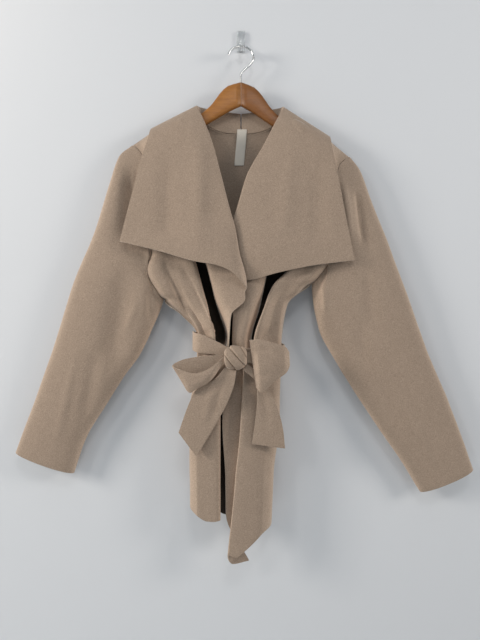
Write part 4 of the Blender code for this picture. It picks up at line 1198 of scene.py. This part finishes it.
def front(name, table, hem, sections, lapel, cloth, panel_creases, lapel_creases, seed):
    """One front with its lapel and half of the collar; gives the sections that the back meets."""
    panel, places = front_grid(table, hem, sections, lapel)
    fall = lapel_grid(lapel, places)
    panel_normals = grid_normals(panel, (0, -1, 0))
    lift = crease_lift(panel, panel_creases) + sway(panel, SWAY_PANEL, seed)
    panel = panel + panel_normals * (lift * from_borders(panel))[..., None]
    fall_normals = grid_normals(fall, (0, -1, 0))
    lift = crease_lift(fall, lapel_creases) + sway(fall, SWAY_LAPEL, seed + 3.0)
    from_roll = np.linspace(0, 1, fall.shape[1])[None, :]
    lift *= smooth(from_roll * ROLL_START) * smooth((SHOULDER_TOP - fall[..., 2]) / SHOULDER_FADE)
    fall = fall + fall_normals * lift[..., None]
    cloth_piece(name, [panel, fall, stand_grid(lapel, sections)], cloth)
    return front_sections(table, hem, sections, lapel)[len(SHOULDER_DROP):]


def from_borders(grid):
    """0 on the top, side and roll borders of a panel, where it meets other cloth, 1 inside."""
    rows, columns = grid.shape[:2]
    down = np.arange(rows)[:, None] / (2.0 * TURN_ROWS)
    across = np.minimum(np.arange(columns), np.arange(columns)[::-1])[None, :] / BORDER_COLUMNS
    return smooth(down) * smooth(across)


def bow_strip(name, table, creases, swell, front_share, cloth):
    """A loop or a tail of the bow, swollen between its edges over the layer in front."""
    grid = strip_grid(table)
    along = np.linspace(0, 1, grid.shape[0])[:, None]
    across = np.linspace(0, 1, grid.shape[1])[None, :]
    lift = crease_lift(grid, creases) + swell * np.sin(across * math.pi)
    lift = lift * smooth(along * STRIP_ENDS[0]) * smooth((front_share - along) * STRIP_ENDS[1])
    grid[..., 1] -= lift
    cloth_piece(name, [grid], cloth)


# The strips of the bow; columns: piece, table, creases, swelling, share of it that lies in front
BOW_STRIPS = (
    ("bow_loop_right", LOOP_RIGHT, LOOP_RIGHT_CREASES, 5.0, 0.55),
    ("bow_loop_left", LOOP_LEFT, LOOP_LEFT_CREASES, 6.0, 0.55),
    ("belt_tail_right", TAIL_RIGHT, TAIL_RIGHT_CREASES, 1.5, 2.0),
    ("belt_tail_left", TAIL_LEFT, TAIL_LEFT_CREASES, 1.5, 2.0),
)


def build_jacket():
    grain = knit_grain_group()
    # painted light: cloth turned to a side is painted paler, and cloth facing forward a little
    # darker
    side_light_paint = painted_side_light_group()
    dark, light = (0.315, 0.238, 0.182), (0.46, 0.35, 0.27)
    face = cloth_material("taupe_cloth", grain, dark, light, 0.65, (side_light_paint,))
    # painted highlight: the cut edges are painted paler than the cloth, for the light caught along
    # the thin rims
    edge = cloth_material("taupe_cut_edge_painted_highlight", grain, (0.50, 0.40, 0.31), (0.60, 0.48, 0.38), 0.5, ())
    folded = cloth_material("taupe_cloth_in_folds", grain, dark, light, 0.65,
                            (side_light_paint, deep_fold_group()))
    plain, panel = (face, edge), (folded, edge)
    sleeve("sleeve_right", SLEEVE_RIGHT, plain, SLEEVE_RIGHT_FRONT, SLEEVE_RIGHT_BACK, 1.0)
    sleeve("sleeve_left", SLEEVE_LEFT, plain, SLEEVE_LEFT_FRONT, SLEEVE_LEFT_BACK, 2.0)
    right = front("front_right", FRONT_RIGHT, HEM_RIGHT, SLEEVE_RIGHT, LAPEL_RIGHT, panel,
                  FRONT_RIGHT_PANEL, LAPEL_RIGHT_CREASES, 5.0)
    left = front("front_left", FRONT_LEFT, HEM_LEFT, SLEEVE_LEFT, LAPEL_LEFT, panel,
                 FRONT_LEFT_PANEL, LAPEL_LEFT_CREASES, 8.0)
    rear = back_grid(right, left)
    rear_normals = grid_normals(rear, (0, 1, 0))
    lift = (crease_lift(rear, BACK_CREASES) + sway(rear, SWAY_BACK, 12.0)) * from_borders(rear)
    cloth_piece("back", [rear + rear_normals * lift[..., None]], panel)
    cloth_piece("belt", [belt_grid()], plain, closed=True)
    for name, table, creases, swell, front_share in BOW_STRIPS:
        bow_strip(name, table, creases, swell, front_share, plain)
    solid_piece("bow_knot", knot_rings(), (face,), "taupe_cloth")
    cloth_piece("neck_label", [label_grid()], (label_material(),), thick=LABEL_THICK,
                slot="label_tape")


def round_wire(name, points, radius, finish, node):
    """A round wire or peg: a curve with a bevel and filled caps."""
    line = bpy.data.curves.new(name, "CURVE")
    line.dimensions = "3D"
    line.bevel_depth = radius * MM
    line.bevel_resolution = WIRE_ROUND
    line.use_fill_caps = True
    spline = line.splines.new("POLY")
    spline.points.add(len(points) - 1)
    for point, target in zip(spline.points, points):
        point.co = (target[0] * MM, target[1] * MM, target[2] * MM, 1.0)
    line.materials.append(finish)
    show(linked(name, line), node)


def build_hanger():
    # painted shade: the same varnished wood in two copies; the wearer's left arm's copy is darker
    # for the shade on that side, and the right arm's is the lit one
    lit_wood_copy = wood_material("varnished_wood_right_lit", (0.27, 0.100, 0.018), (0.42, 0.172, 0.033))
    shaded_wood_copy = wood_material("varnished_wood_left_painted_shade", (0.165, 0.055, 0.010), (0.265, 0.100, 0.018))
    for name, side, finish in (("hanger_arm_right", -1.0, lit_wood_copy),
                               ("hanger_arm_left", 1.0, shaded_wood_copy)):
        solid_piece(name, arm_rings(side), (finish,), "varnished_wood")
    points = flowing([(x, HANGER_PLANE, z) for x, z in HOOK_WIRE], HOOK_STEPS)
    round_wire("hanger_hook", points, WIRE_RADIUS, chrome_material(), "hanger_hook")


def build_wall_hook():
    clear = clear_material()
    bpy.ops.mesh.primitive_cube_add(size=1)
    plate = bpy.context.object
    plate.name = "wall_hook_plate"
    for vertex in plate.data.vertices:
        for axis in range(3):
            vertex.co[axis] *= PLATE_SIZE[axis] * MM
        vertex.co[1] -= PLATE_SIZE[1] / 2 * MM
    rounding = plate.modifiers.new("rounding", "BEVEL")
    rounding.width = PLATE_ROUND * MM
    rounding.segments = 4
    plate.data.materials.append(clear)
    show(plate, "wall_hook")
    points = flowing([(0, y, z) for y, z in PEG_PATH], PEG_STEPS)
    round_wire("wall_hook_peg", points, PEG_RADIUS, clear, "wall_hook")


# ================================================================== stage, light and camera
# Lengths from here on are in metres.
ROOM_REACH, ROOM_FOOT, ROOM_TOP = 4.0, -1.75, 3.0
WALL_PLANE = 0.002         # y of the painted wall, just behind the wall hook's plate
SKY_COLOUR, SKY_STRENGTH = (0.78, 0.90, 1.0, 1.0), 0.32
# columns: lamp, place, what it points at, width and height, watts, colour
LAMPS = (
    ("window_left", (-2.15, -1.10, 0.05), (-0.1, 0.0, -0.65), (0.6, 0.6), 31.0, (1.0, 0.94, 0.86)),
    ("window_right", (2.10, -1.20, 0.05), (0.1, 0.0, -0.65), (0.6, 0.6), 19.0, (1.0, 0.93, 0.85)),
    ("key_lamp", (-1.20, -1.60, 0.20), (0.0, 0.0, -0.60), (0.30, 0.30), 4.0, (1.0, 0.96, 0.90)),
    ("front_lamp", (0.15, -1.35, 0.45), (0.0, 0.0, -0.70), (0.3, 0.3), 3.2, (1.0, 0.98, 0.95)),
    ("floor_bounce", (-0.40, -0.75, -1.70), (-0.1, 0.0, -0.90), (1.2, 0.6), 0.9,
     (0.84, 0.93, 1.0)),
    ("wall_lamp", (-0.80, -0.30, 0.35), (-0.5, 0.0, -0.1), (0.2, 0.2), 0.5, (1.0, 0.88, 0.74)),
)
CAMERA_PLACE = (-0.0021, -1.021, -0.590)
FOCAL_PIXELS = 480.7       # focal length in pixels of the picture
PICTURE_HEIGHT = 640       # pixels
SENSOR_HEIGHT = 36         # mm, along the picture's height


def stage_plane(name, corners, finish):
    mesh = bpy.data.meshes.new(name)
    mesh.from_pydata(corners, [], [(0, 1, 2, 3)])
    mesh.materials.append(finish)
    linked(name, mesh)


def soft_light(name, place_at, look_at, size, watts, colour):
    lamp = bpy.data.lights.new(name, "AREA")
    lamp.shape = "RECTANGLE"
    lamp.size, lamp.size_y = size
    lamp.energy = watts
    lamp.color = colour
    made = linked(name, lamp)
    made.location = place_at
    away = Vector(place_at) - Vector(look_at)
    made.rotation_euler = away.to_track_quat("Z", "Y").to_euler()


def build_stage():
    left, right, near = -ROOM_REACH, ROOM_REACH, -ROOM_REACH
    stage_plane("wall", [(left, WALL_PLANE, ROOM_FOOT), (right, WALL_PLANE, ROOM_FOOT),
                         (right, WALL_PLANE, ROOM_TOP), (left, WALL_PLANE, ROOM_TOP)],
                pale_paint("wall_paint", (0.70, 0.715, 0.745)))
    stage_plane("floor", [(left, near, ROOM_FOOT), (right, near, ROOM_FOOT),
                          (right, WALL_PLANE, ROOM_FOOT), (left, WALL_PLANE, ROOM_FOOT)],
                pale_paint("floor_paint", (0.74, 0.74, 0.73)))
    world = bpy.data.worlds.new("room")
    world.use_nodes = True
    feed(world.node_tree, world.node_tree.nodes["Background"],
         {"Color": SKY_COLOUR, "Strength": SKY_STRENGTH})
    bpy.context.scene.world = world
    for lamp in LAMPS:
        soft_light(*lamp)


def build_camera():
    camera = bpy.data.cameras.new("camera")
    camera.lens = FOCAL_PIXELS / PICTURE_HEIGHT * SENSOR_HEIGHT
    camera.sensor_width = SENSOR_HEIGHT
    made = linked("camera", camera)
    made.location = CAMERA_PLACE
    made.rotation_euler = (math.pi / 2, 0, 0)
    bpy.context.scene.camera = made
    bpy.context.scene.view_settings.view_transform = "Standard"


build_camera()
build_jacket()
build_hanger()
build_wall_hook()
build_stage()
